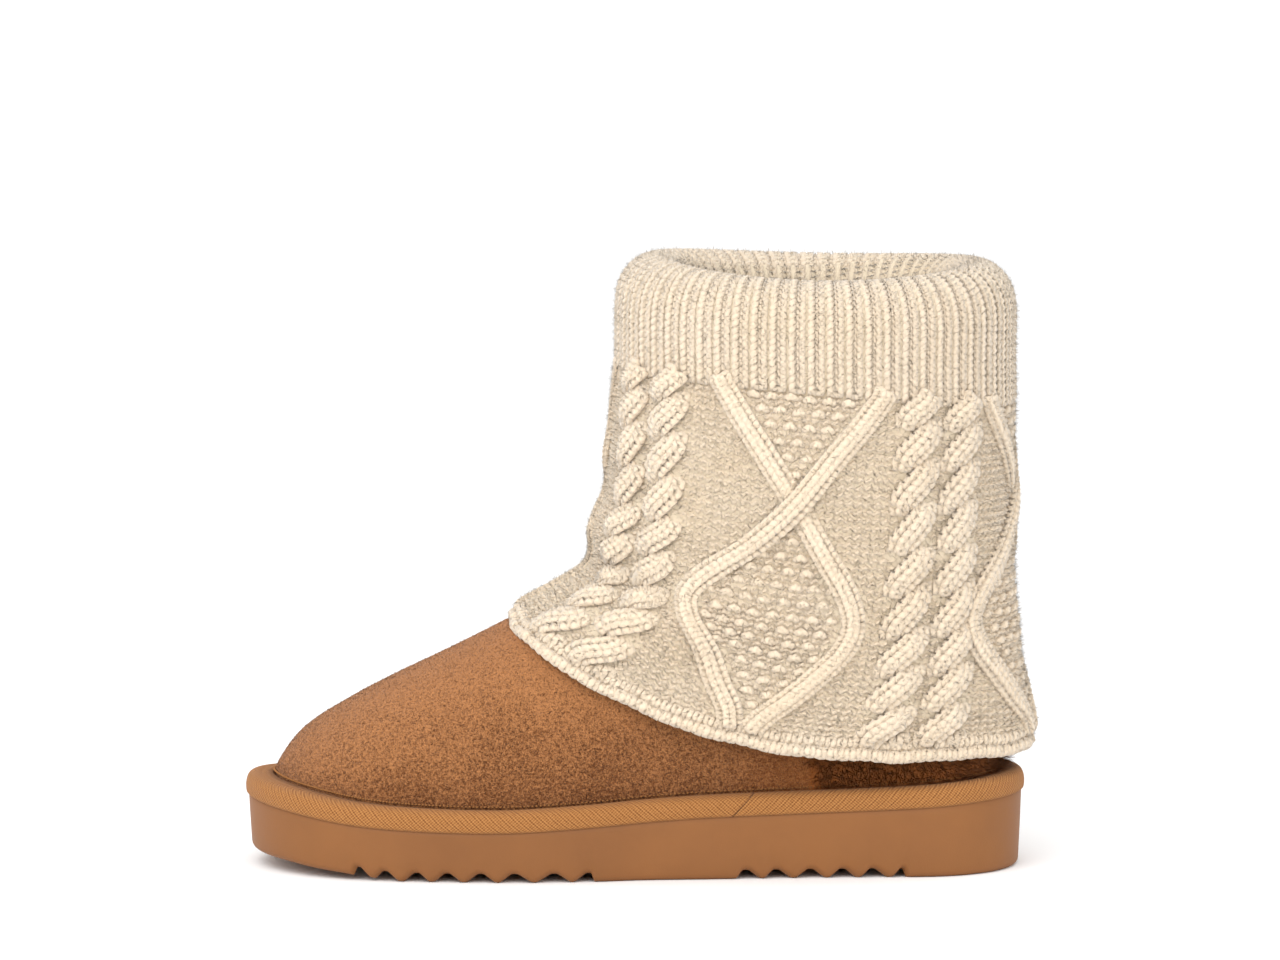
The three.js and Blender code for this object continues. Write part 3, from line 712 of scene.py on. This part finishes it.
# Short nap on the vamp and longer nap on the quarter behind the seam, up to where the knit covers them
def makeNap():
    grid = upperGrid()
    normals = gridNormals(grid)
    faces = ringFaces(*grid.shape[:2])
    for name, behind in (("Vamp", False), ("Quarter", True)):
        surface = (grid - normals * (0 if behind else upperShape["seamStep"])).reshape(-1, 3)
        x, _, z = surface[faces].mean(1).T
        shown = z < np.interp(x, upperShape["shownX"], upperShape["shownUp"])
        base = makeObject("napBase", surface, faces[(x > seamX if behind else x <= seamX) & shown])
        density, length, lean = nap[name]
        fibres = growHairs("nap" + name, base, Density=density, Length=length, Width=nap["width"],
                           Lean=lean, Seed=11 + behind, Material=suede)
        dress(fibres, "upper")
        bpy.data.objects.remove(base)


makeNap()
print("upper ready")


# Rand: the tape-covered band round the edge of the outsole
rand = {"height": 7.6, "width": 8.0, "proud": 1.0, "around": 420, "clear": 0.04, "off": 0.3}
randSection = Table("turn out up",
    (0, 0.86, 0), (1, 0.97, 0.08), (2, 1, 0.3), (3, 0.985, 0.55), (4, 0.9, 0.8), (5, 0.74, 0.94),
    (6, 0.5, 1), (7, 0.3, 0.99))


# Distances behind the toe, half widths, middles and heights of a ring of the band
def soleRing(share, inset, up):
    distance = inset + (last["length"] - 2 * inset) * share
    half, middle = footAt(distance, inset)
    return distance, half, middle, soleTopAt(distance) + rand["clear"] + up * rand["height"]


def makeRand():
    angle = anglesOf(rand["around"])
    share = aroundAt(angle)[0]
    rings, widths = [], []
    for turn in np.linspace(0, 7, 22):
        out, up = randSection.read("out", turn), randSection.read("up", turn)
        rings.append(ringPoints(angle, *soleRing(share, rand["width"] * (1 - out) - rand["proud"], up)))
        widths.append(np.full(len(angle), turn / 7))
    for up in (0.93, 0.0):
        height = soleTopAt(share * last["length"]) + rand["clear"] + up * rand["height"]
        points = ringPoints(angle, *lastRing(share, height), height)
        points[:, 0] += rand["off"] * (2 * share - 1)
        points[:, 1] -= rand["off"] * np.sin(angle)
        rings.append(points)
        widths.append(np.full(len(angle), 1.1))
    length = lengthsAlong(rings[9])
    length = np.minimum(length, length[-1] - length)
    uv = np.stack([np.tile(length, len(rings)), np.concatenate(widths)], -1)
    return makeObject("randTape", np.concatenate(rings), ringFaces(len(rings), len(angle), closedRows=True),
                      uv=uv, material=tape)


dress(makeRand(), "rand")


# Half the length and height of a stitch, and how far the row lies above the tape
stitch = {"count": 540, "length": 0.55, "height": 0.4, "up": 0.4}


# The row of stitches that holds the tape, each a small pointed bead along the suede
def makeStitches():
    count = stitch["count"]
    angle = (np.arange(count) + 0.5) / count * 2 * np.pi
    height = soleTopAt(aroundAt(angle)[0] * last["length"]) + rand["clear"] + rand["height"] + stitch["up"]

    def ring(turn):
        share, side = aroundAt(turn)
        distance, half, middle = lastRing(share, height)
        return pointsAt(distance, middle + side * half, height)

    centre = ring(angle)
    along = unit(ring(angle + 0.004) - ring(angle - 0.004)) * stitch["length"]
    outward = unit(np.stack([-along[:, 1], along[:, 0], 0 * height], -1))
    outward *= np.where((outward * centre).sum(1) < 0, -1, 1)[:, None] * stitch["length"]
    upward = np.tile([0, 0, stitch["height"]], (count, 1))
    centre = centre - outward * 0.2
    corners = np.stack([centre + along, centre + outward, centre + upward, centre - along, centre - outward,
                        centre - upward], 1)
    shape = np.array([[0, 1, 2], [1, 3, 2], [3, 4, 2], [4, 0, 2],
                      [1, 0, 5], [3, 1, 5], [4, 3, 5], [0, 4, 5]])
    volume = np.einsum("ij,ij->i", np.cross(along, outward), upward)
    faces = np.arange(count)[:, None, None] * 6 + shape
    faces = np.where((volume < 0)[:, None, None], faces[..., ::-1], faces)
    return makeObject("tapeStitches", corners.reshape(-1, 3), faces.reshape(-1, 3),
                      uv=np.zeros((count * 6, 2)), material=tape)


dress(makeStitches())
print("rand ready")


# Insole
insole = {"thickness": 4.0, "around": 120, "inset": 12.4, "above": 0.3}
insoleSection = ((0, 0), (0, 0.55), (0.6, 0.85), (1.8, 1), (8, 1.2), (16, 1.3))


def makeInsole():
    angle = anglesOf(insole["around"])
    share = aroundAt(angle)[0]
    rings = []
    for inset, up in insoleSection:
        distance, half, middle, _ = soleRing(share, insole["inset"] + inset, 0)
        height = soleTopAt(distance) + insole["above"] + up * insole["thickness"]
        rings.append(ringPoints(angle, distance, np.maximum(half, 0), middle, height))
    faces = blockFaces(len(rings), insole["around"])
    return makeObject("insolePlush", np.concatenate(rings), faces, material=plush)


dress(makeInsole(), "insole")
print("insole ready")


# Knit: a grid of the fabric, half a wale by half a row, from the hem over the rim and down inside
def fabricGrid():
    wales, half = knit["wales"], knit["wales"] // 2
    dense = np.linspace(0, 2 * np.pi, 721)
    shoulders = np.linspace(1, knitRings.values["at"][-1], 12)[1:]
    levels = np.concatenate([np.linspace(0, 1, 2 * knit["panelRows"] + 1), shoulders])
    points = knitPoint(levels[:, None], dense[None, :])
    columns = np.arange(2 * wales) / 2
    rings = []
    for row in points:
        lengths = lengthsAlong(row)
        outer, whole = lengths[len(dense) // 2], lengths[-1]
        inner = outer + (columns - half) / half * (whole - outer)
        want = np.where(columns <= half, columns / half * outer, inner)
        rings.append(resample(row, lengths, want))
    panel, shoulder = np.array(rings[:2 * knit["panelRows"] + 1]), np.array(rings[2 * knit["panelRows"]:])
    top = shoulder[-1]
    along = np.roll(top, -1, 0) - np.roll(top, 1, 0)
    inward = unit(np.stack([-along[:, 1], along[:, 0], np.zeros(len(top))], -1))
    sine = np.sin(columns / wales * 2 * np.pi)
    cosine = np.cos(columns / wales * 2 * np.pi)
    crest = knit["rimHeight"] + knit["rimOver"] + knit["rimTilt"] * cosine - knit["rimSag"] * sine ** 2
    turns = np.linspace(*knit["rimTurns"])
    bend, rise = knit["rimRound"], knit["rimRound"] * knit["rimRise"]
    path = [(bend * (1 - math.cos(t)), rise * (1 - math.sin(t))) for t in turns]
    drops = np.linspace(knit["rimStraight"] * bend, knit["rimDepth"], 4)
    path += [(knit["liningInset"], drop) for drop in drops]
    rim = []
    for inset, drop in path:
        ring = top + inward * inset
        ring[:, 2] = crest - drop
        rim.append(ring)
    profile = np.concatenate([shoulder, np.array(rim)])
    lengths = lengthsAlong(profile)
    rows = int(lengths[-1].min() / (knit["rowHeight"] / 2))
    wanted = np.arange(rows + 1) * knit["rowHeight"] / 2
    rib = [resample(profile[:, c], lengths[:, c], wanted) for c in range(len(columns))]
    rib = np.stack(rib, 1)
    for _ in range(4):
        rib[1:-1] = (rib[:-2] + 2 * rib[1:-1] + rib[2:]) / 4
    return np.concatenate([panel, rib[1:]])


fabric = fabricGrid()
fabricNormals = gridNormals(fabric)
ribRows = (len(fabric) - 1) // 2 - knit["panelRows"]
print("fabric", fabric.shape, "rib rows", ribRows)


# Places in millimetres, and outward directions, of fabric coordinates in wales and rows
def onFabric(u, v, lift):
    column, row = np.mod(u, knit["wales"]) * 2, np.clip(v * 2, 0, len(fabric) - 1.001)
    c, r = np.floor(column).astype(int), np.floor(row).astype(int)
    fc, fr = (column - c)[..., None], (row - r)[..., None]
    nextC = (c + 1) % fabric.shape[1]
    c = c % fabric.shape[1]

    def blend(grid):
        low = grid[r, c] * (1 - fc) + grid[r, nextC] * fc
        high = grid[r + 1, c] * (1 - fc) + grid[r + 1, nextC] * fc
        return low * (1 - fr) + high * fr

    normals = unit(blend(fabricNormals))
    return blend(fabric) + normals * (np.asarray(lift) - knit["settle"])[..., None], normals


# A piece of yarn tubes along rows of fabric coordinates and heights; open ones with four sides get
# their ends closed, and the ends of the others lie under the ropes
def yarnTubes(name, u, v, lift, radius, closed=False, sides=4, flat=0.9, material=yarn):
    centres, normals = onFabric(u, v, lift)
    rows, count = centres.shape[:2]
    if closed:
        tangents = unit(np.roll(centres, -1, 1) - np.roll(centres, 1, 1))
    else:
        tangents = unit(np.gradient(centres, axis=1))
    across = unit(np.cross(tangents, normals))
    out = np.cross(across, tangents)
    turns = (np.arange(sides) + (0.5 if sides == 4 else 0.75)) / sides * 2 * np.pi
    size = np.broadcast_to(np.asarray(radius, float), (rows, count))[..., None, None]
    rings = centres[:, :, None, :] + size * (np.cos(turns)[:, None] * across[:, :, None, :]
                                             + flat * np.sin(turns)[:, None] * out[:, :, None, :])
    points = rings.reshape(-1, 3)
    r, i, s = np.meshgrid(np.arange(rows), np.arange(count if closed else count - 1), np.arange(sides),
                          indexing="ij")
    nextI, nextS = (i + 1) % count, (s + 1) % sides
    corners = [(r * count + i) * sides + s, (r * count + i) * sides + nextS,
               (r * count + nextI) * sides + nextS, (r * count + nextI) * sides + s]
    faces = np.stack(corners, -1).reshape(-1, 4)
    if not closed and sides == 4:
        starts = (np.arange(rows) * count * sides)[:, None]
        ends = starts + (count - 1) * sides
        faces = np.concatenate([faces, starts + np.array([3, 2, 1, 0]), ends + np.arange(4)])
    length = lengthsAlong(centres, 1).ravel()
    uv = np.stack([np.repeat(length, sides) * 0.25, np.tile(np.arange(sides) / sides, rows * count)], -1)
    tubes = makeObject(name, points, faces[:, ::-1], uv=uv, material=material)
    dress(tubes, "knit_cover")


# Fabric coordinates of rows of loops. Edges are the wales' sides, types 1 for knit and -1 for purl
def course(edges, types, rowPlaces, lifts, steps=8, depth=None):
    depth = knit["loopDepth"] if depth is None else depth
    t = np.arange(steps) / steps * 2 * np.pi
    width = np.diff(edges, axis=1)
    u = edges[:, :-1, None] + width[..., None] * (t / (2 * np.pi) + knit["loopLean"] * np.sin(2 * t))
    v = rowPlaces[:, None, None] - knit["loopReach"] * np.cos(t) + 0 * u
    sign = np.repeat(types[..., None].astype(float), steps, 2)
    before = np.concatenate([types[:, :1], types[:, :-1]], 1)
    sign[..., 0] = (types + before) / 2
    base = np.repeat(lifts[..., None].astype(float), steps, 2)
    base[..., 0] = (lifts + np.concatenate([lifts[:, :1], lifts[:, :-1]], 1)) / 2
    deep = np.broadcast_to(depth, types.shape)[..., None]
    lift = -deep * sign * np.cos(2 * t) + base
    thick = knit["thinnest"] + knit["thicker"] * (1 - sign * np.cos(2 * t))
    return tuple(part.reshape(len(edges), -1) for part in (u, v, lift, thick))


# Strands: how wide, how thick their yarn, how far the edges fall, how high they lie and swell, all in
# wales or millimetres, and how many rows lie between their rows of loops
ropeStrand = {"width": 2.8, "yarn": 1.5, "crown": 1.5, "rise": 0.5, "swell": 1.8, "every": 0.8,
              "hidden": -0.2}
diamondStrand = {"width": 2.35, "yarn": 1.48, "crown": 1.7, "rise": 1.1, "over": 1.2, "under": -1.0,
                 "every": 0.75, "crossRow": 35, "crossReach": 3, "instepApart": 0.45, "instepRise": 0.3}

# Middle of a diamond and how far its strands lie from it, in wales; past the crossing they swap sides
diamondPath = Table("row middle apart",
    (3, 28.3, 1), (5.5, 28.2, 1.7), (8.5, 27.8, 3.4), (12, 27.4, 5.4), (16.5, 26.9, 7.9), (20.5, 26.8, 8.8),
    (24, 27.1, 7.6), (29, 27.7, 4.1), (35, 28.5, 0), (42, 28.4, -4.3), (46, 28.4, -6.7), (50, 28.4, -8.6))


# A distance round the fabric, in wales, taken the shorter way
def shorter(away, around=knit["wales"]):
    return np.mod(away + around / 2, around) - around / 2


# How far the strands of a diamond lie from its middle; the one on the instep is narrower
def apartAt(shift, row):
    narrower = diamondStrand["instepApart"] if shift == knit["diamondsAt"][-1] else 1
    return diamondPath.read("apart", row) * narrower


# How high the strands of a diamond stand; the one on the instep lies nearly flat
def riseOf(shift):
    return diamondStrand["rise"] * (diamondStrand["instepRise"] if shift == knit["diamondsAt"][-1] else 1)


# Which loops lie inside a diamond, and which of all loops would be raised in its moss filling
def mossAt(wales, row):
    inside = np.zeros(np.broadcast(wales, row).shape, bool)
    for shift in knit["diamondsAt"]:
        away = shorter(wales + 0.5 - shift - diamondPath.read("middle", row))
        inside |= np.abs(away) < np.abs(apartAt(shift, row)) - 1.2
    raised = (np.floor(wales) + np.round(row) // 2).astype(int) % 2 == 0
    return inside, raised


# How high the ground lies inside and outside the diamonds, and how uneven it is
ground = {"inside": -1.25, "outside": -1.0, "uneven": 0.09}


# Purl ground between the ropes, in arcs that end under them
def makeGround():
    rows = np.arange(knit["bandRows"], knit["panelRows"]).astype(float)
    ropes = knit["ropesAt"]
    for letter, start, end in zip("ABCDEFGH", ropes, (*ropes[1:], ropes[0] + knit["wales"])):
        start, end = start + knit["ropeHalf"], end - knit["ropeHalf"]
        edges = np.tile(np.linspace(start, end, round(end - start) + 1), (len(rows), 1))
        inside, _ = mossAt(edges[:, :-1], rows[:, None])
        lifts = np.where(inside, ground["inside"], ground["outside"])
        lifts = lifts + rng.normal(0, ground["uneven"], lifts.shape)
        u, v, lift, thick = course(edges, np.full(inside.shape, -1), rows, lifts)
        yarnTubes("ground" + letter, u, v, lift, knit["yarnRadius"] * thick, sides=3)


# Points of a knot: along the row, up, out of the fabric, and how thick the yarn is
knot = {"along": (-0.56, -0.42, 0, 0.42, 0.56), "up": (-0.5, -0.05, 0.25, -0.05, -0.5),
        "out": (-1.5, -0.5, -0.15, -0.5, -1.5), "thick": (1.0, 1.38, 1.55, 1.38, 1.0)}


# The raised knots of the moss filling, one short arc of yarn in every second cell
def makeMoss():
    wales, rows = np.arange(knit["wales"]) + 0.75, np.arange(4, knit["panelRows"], 2)
    wales, rows = np.meshgrid(wales, rows, indexing="ij")
    inside, raised = mossAt(wales, rows)
    keep = inside & raised & mossAt(wales - 0.2, rows)[0] & mossAt(wales + 0.2, rows)[0]
    middle, row = wales[keep] + 0.5, rows[keep] + 0.5
    u = middle[:, None] + np.array(knot["along"]) + rng.normal(0, 0.04, (len(middle), 1))
    v = row[:, None] + np.array(knot["up"]) + rng.normal(0, 0.06, (len(middle), 1))
    lift = np.array(knot["out"]) + rng.normal(0, 0.12, (len(middle), 1))
    yarnTubes("mossKnots", u, v, lift, knit["yarnRadius"] * np.array(knot["thick"]), flat=0.75)


# Strips of knit loops along a path: one row of loops at each place of the path
def stripTubes(name, path, strand):
    centreU, centreV, lean, lifts = (np.concatenate(part) for part in zip(*path))
    count, width, loops = len(centreU), strand["width"], 2
    edges = np.tile(np.arange(loops + 1) - loops / 2, (count, 1)) * width / loops
    types = np.ones((count, loops), int)
    x, y, lift, thick = course(edges, types, np.zeros(count), np.zeros((count, loops)),
                               depth=knit["strandDepth"])
    share = np.clip(np.abs(x) / (width / 2), 0, 1.15)
    lift = lift + lifts[:, None] + 0.2 - strand["crown"] * share ** 2
    aspect = knit["rowHeight"] / knit["waleWidth"]
    cos, sin = np.cos(lean)[:, None], np.sin(lean)[:, None]
    u = centreU[:, None] + x * cos + y * aspect * sin
    v = centreV[:, None] - x * sin / aspect + y * cos
    radius = knit["yarnRadius"] * strand["yarn"] * thick
    yarnTubes(name, u, v, lift, radius, flat=knit["strandFlat"])


# Two strands twisted round each other for each rope; what is hidden behind is left out
def makeRopes():
    turn, reach = knit["ropeTurn"], knit["ropeReach"]
    places = np.arange(knit["bandRows"] + 0.2, knit["panelRows"] + 0.5, ropeStrand["every"])
    path = []
    for middle in knit["ropesAt"]:
        for phase in (0, turn):
            angle = np.pi * (places - phase - knit["bandRows"]) / turn
            keep = np.sin(angle) > ropeStrand["hidden"]
            slope = reach * np.pi / turn * np.sin(angle) * knit["waleWidth"] / knit["rowHeight"]
            lifts = ropeStrand["rise"] + ropeStrand["swell"] * np.sin(angle)
            parts = (middle - reach * np.cos(angle), places, np.arctan(slope), lifts)
            path.append([part[keep] for part in parts])
    stripTubes("ropes", path, ropeStrand)


def makeDiamonds():
    places = np.arange(knit["bandRows"] + 0.2, knit["panelRows"] + 0.6, diamondStrand["every"])
    crossing = np.exp(-((places - diamondStrand["crossRow"]) / diamondStrand["crossReach"]) ** 2)
    path = []
    for shift in knit["diamondsAt"]:
        for side, step in ((-1, diamondStrand["over"]), (1, diamondStrand["under"])):
            u = diamondPath.read("middle", places) + side * apartAt(shift, places)
            for _ in range(2):
                u[1:-1] = (u[:-2] + u[1:-1] + u[2:]) / 3
            slope = np.gradient(u, places) * knit["waleWidth"] / knit["rowHeight"]
            path.append((u + shift, places, np.arctan(slope), riseOf(shift) + crossing * step))
    stripTubes("diamonds", path, diamondStrand)


# How wide a raised wale is, how high the two kinds lie, and the rows at which the pieces part
ribShape = {"wide": 0.74, "raised": -0.4, "sunk": -0.85, "breaks": (0, 11, 22, 33)}


# Ribbed rows over the rim and down inside: a raised knit wale, then a narrow sunk purl wale
def makeRib():
    wales = knit["wales"]
    edges = np.arange(wales + 1).astype(float)
    edges[1::2] += ribShape["wide"]
    types = np.where(np.arange(wales) % 2 == 0, 1, -1)
    lifts = np.where(types > 0, ribShape["raised"], ribShape["sunk"])
    breaks = [*ribShape["breaks"], ribRows]
    for part, (low, high) in enumerate(zip(breaks[:-1], breaks[1:])):
        rows = np.arange(low, high) + knit["panelRows"] + 0.5
        rows = rows[rows < knit["panelRows"] + ribRows - 0.5]
        tiled = [np.tile(values, (len(rows), 1)) for values in (edges, types, lifts)]
        u, v, lift, thick = course(*tiled[:2], rows, tiled[2], steps=6 if part > 1 else 8)
        # The rib's darker yarn is painted shade, offsetting the light on the upturned rim
        yarnTubes("rib" + "ABCD"[part], u, v, lift, knit["ribRadius"] * thick, closed=True,
                  sides=4 if part < 2 else 3, material=yarnRibPaintedShade)


# Places, heights and thickness of the three rows at the hem, and how far they sway
hem = {"rows": (0.72, 1.5, 2.4), "lifts": (-0.2, -0.8, -0.4), "thick": (1.4, 1.05, 1.1), "sway": 0.22}


# The rows at the hem: a rolled edge and a ridge above it
def makeHem():
    wales = knit["wales"]
    edges = np.tile(np.arange(wales + 1).astype(float), (knit["bandRows"], 1))
    types = np.tile(np.where(np.arange(knit["bandRows"]) % 2 == 0, 1, -1)[:, None], (1, wales))
    rows = np.array(hem["rows"])
    lifts = np.tile(np.array(hem["lifts"])[:, None], (1, wales))
    lifts = lifts + rng.normal(0, 0.2, lifts.shape)
    u, v, lift, thick = course(edges, types, rows, lifts)
    sway = hem["sway"] * np.sin(u / wales * 2 * np.pi * 17 + 1) * np.sin(u / wales * 2 * np.pi * 5)
    radius = knit["yarnRadius"] * np.array(hem["thick"])[:, None] * thick
    yarnTubes("hemBand", u, np.maximum(v + sway, 0), lift, radius, closed=True)


# Smooth hump of height 1 round a place on the fabric
def near(value, place, width, around=knit["wales"]):
    away = np.abs(shorter(value - place, around))
    return (1 + np.cos(np.pi * np.clip(away / width, 0, 1))) / 2


# Heights of the soft body under each part, and half the widths of its humps in wales
body = {
    "ground": -0.85, "moss": -0.95, "knots": 0.5, "rope": 1.2, "ropeWide": 2.8, "lobe": 0.7,
    "lobeWide": 1.9, "lobePower": 0.6, "strand": 0.4, "strandWide": 2.1, "strandPower": 0.75,
    "rib": -0.62, "ribRise": 0.92, "ribInside": 0.6, "hem": 0.3, "inner": 3.6,
}


# Height of the soft body of the fabric, which the loops lie in
def bodyLift(u, v):
    inside, _ = mossAt(u - 0.5, v)
    bumps = np.cos(np.pi * (u - 1.25)) * np.cos(np.pi * (v - 0.5) / 2)
    low = lift = np.where(inside, body["moss"] + body["knots"] * bumps, body["ground"])
    for rope in knit["ropesAt"]:
        lift = np.maximum(lift, low + body["rope"] * near(u, rope, body["ropeWide"]))
        for phase in (0, knit["ropeTurn"]):
            angle = np.pi * (v - phase - knit["bandRows"]) / knit["ropeTurn"]
            full = ropeStrand["rise"] + body["lobe"] + ropeStrand["swell"] * np.sin(angle) - low
            lobe = near(u, rope - knit["ropeReach"] * np.cos(angle), body["lobeWide"])
            lift = np.maximum(lift, low + np.maximum(full, 0) * lobe ** body["lobePower"])
    for shift in knit["diamondsAt"]:
        for side in (-1, 1):
            away = diamondPath.read("middle", v) + shift + side * apartAt(shift, v)
            lobe = near(u, away, body["strandWide"]) ** body["strandPower"]
            lift = np.maximum(lift, low + (riseOf(shift) + body["strand"] - low) * lobe)
    rib = body["rib"] + body["ribRise"] * near(u, (1 + ribShape["wide"]) / 2, 1.0, 2)
    rib = rib + body["ribInside"] * smooth(knit["panelRows"] + 11, knit["panelRows"] + 18, v)
    blend = smooth(knit["panelRows"] - 0.5, knit["panelRows"] + 0.6, v)
    above = smooth(knit["bandRows"] - 0.4, knit["bandRows"] + 0.6, v)
    return (lift * (1 - blend) + rib * blend) * above - body["hem"] * (1 - above)


# The fabric's body behind the loops, closed round its section, in a darker yarn: painted shade where it
# lies deep between the loops
def makeBacking():
    rows, columns = np.meshgrid(np.arange(len(fabric)) / 2, np.arange(fabric.shape[1]) / 2, indexing="ij")
    outer = fabric + fabricNormals * (bodyLift(columns, rows) - knit["settle"])[..., None]
    inner = fabric - fabricNormals * body["inner"]
    points, faces = shellFaces([outer[::2], inner[::-8]])
    dress(makeObject("knitBody", points, faces, material=yarnPaintedShade), "knit_cover")


makeBacking()
makeGround()
makeMoss()
makeRopes()
makeDiamonds()
makeRib()
makeHem()


# Fibres for each square millimetre and their length, and how far they lean
fuzz = {"Body": (0.9, 2.6), "Ropes": (0.42, 2.08), "Diamonds": (0.42, 2.08), "width": 0.07,
        "lean": 1.1, "lift": 0.3, "ribRows": 25}


# Loose fibres over the knit, outside and over the rim
def makeFuzz():
    rows = 2 * (knit["panelRows"] + fuzz["ribRows"])
    base = (fabric + fabricNormals * (fuzz["lift"] - knit["settle"]))[:rows]
    surface = makeObject("fuzzBase", base.reshape(-1, 3), ringFaces(rows, fabric.shape[1]))
    strands = [bpy.data.objects[name] for name in ("ropes", "diamonds")]
    for name, place, seed in (("Body", surface, 3), ("Ropes", strands[0], 0), ("Diamonds", strands[1], 1)):
        density, length = fuzz[name]
        fibres = growHairs("fuzz" + name, place, Density=density, Length=length, Width=fuzz["width"],
                           Lean=fuzz["lean"], Seed=seed, Material=yarn)
        dress(fibres, "knit_cover")
    bpy.data.objects.remove(surface)


makeFuzz()


# Floor, light and camera; the photo's scale and where it shows the boot
view = {"scale": 0.342, "middleX": 635.0, "floorY": 863.0, "width": 1280, "height": 960, "distance": 4.5,
        "elevation": 7.6, "sensor": 36, "clipEnd": 100, "skyPower": 1.15}


def makeFloor():
    bpy.ops.mesh.primitive_plane_add(size=30)
    floor = bpy.context.object
    floor.name = "floor"
    finish = Finish("paleFloor", Roughness=0.9, Base_Color=(0.93, 0.93, 0.93, 1))
    floor.data.materials.append(finish.material)


# A lamp or camera at a place, turned to its aim
def stand(data, place, aim):
    thing = bpy.data.objects.new(data.name, data)
    bpy.context.scene.collection.objects.link(thing)
    thing.location = place
    thing.rotation_euler = (Vector(aim) - Vector(place)).to_track_quat("-Z", "Y").to_euler()
    return thing


def makeLight(name, place, aim, size, power):
    data = bpy.data.lights.new(name, "AREA")
    data.size, data.energy = size, power
    stand(data, place, aim)


def makeCamera():
    data = bpy.data.cameras.new("camera")
    elevation = math.radians(view["elevation"])
    aim = ((view["width"] / 2 - view["middleX"]) * view["scale"] * 0.001, 0,
           (view["floorY"] - view["height"] / 2) * view["scale"] / math.cos(elevation) * 0.001)
    distance = view["distance"]
    place = (aim[0], -distance * math.cos(elevation), aim[2] + distance * math.sin(elevation))
    data.sensor_width = view["sensor"]
    data.lens = view["sensor"] * distance / (view["width"] * view["scale"] * 0.001)
    data.clip_end = view["clipEnd"]
    bpy.context.scene.camera = stand(data, place, aim)


world = bpy.data.worlds.new("studio")
world.use_nodes = True
sky = world.node_tree.nodes["Background"]
sky.inputs[0].default_value = (1, 1, 1, 1)
sky.inputs[1].default_value = view["skyPower"]
bpy.context.scene.world = world
bpy.context.scene.view_settings.view_transform = "Standard"
makeFloor()
makeLight("key", (-0.7, -1.65, 1.4), (0, 0, 0.1), 1.8, 25)
makeLight("side", (-1.2, -0.5, 1.2), (0, 0, 0.15), 1.4, 5)
makeLight("fill", (1.0, -1.5, 0.5), (0, 0, 0.1), 1.6, 9)
makeCamera()
print("stage ready")
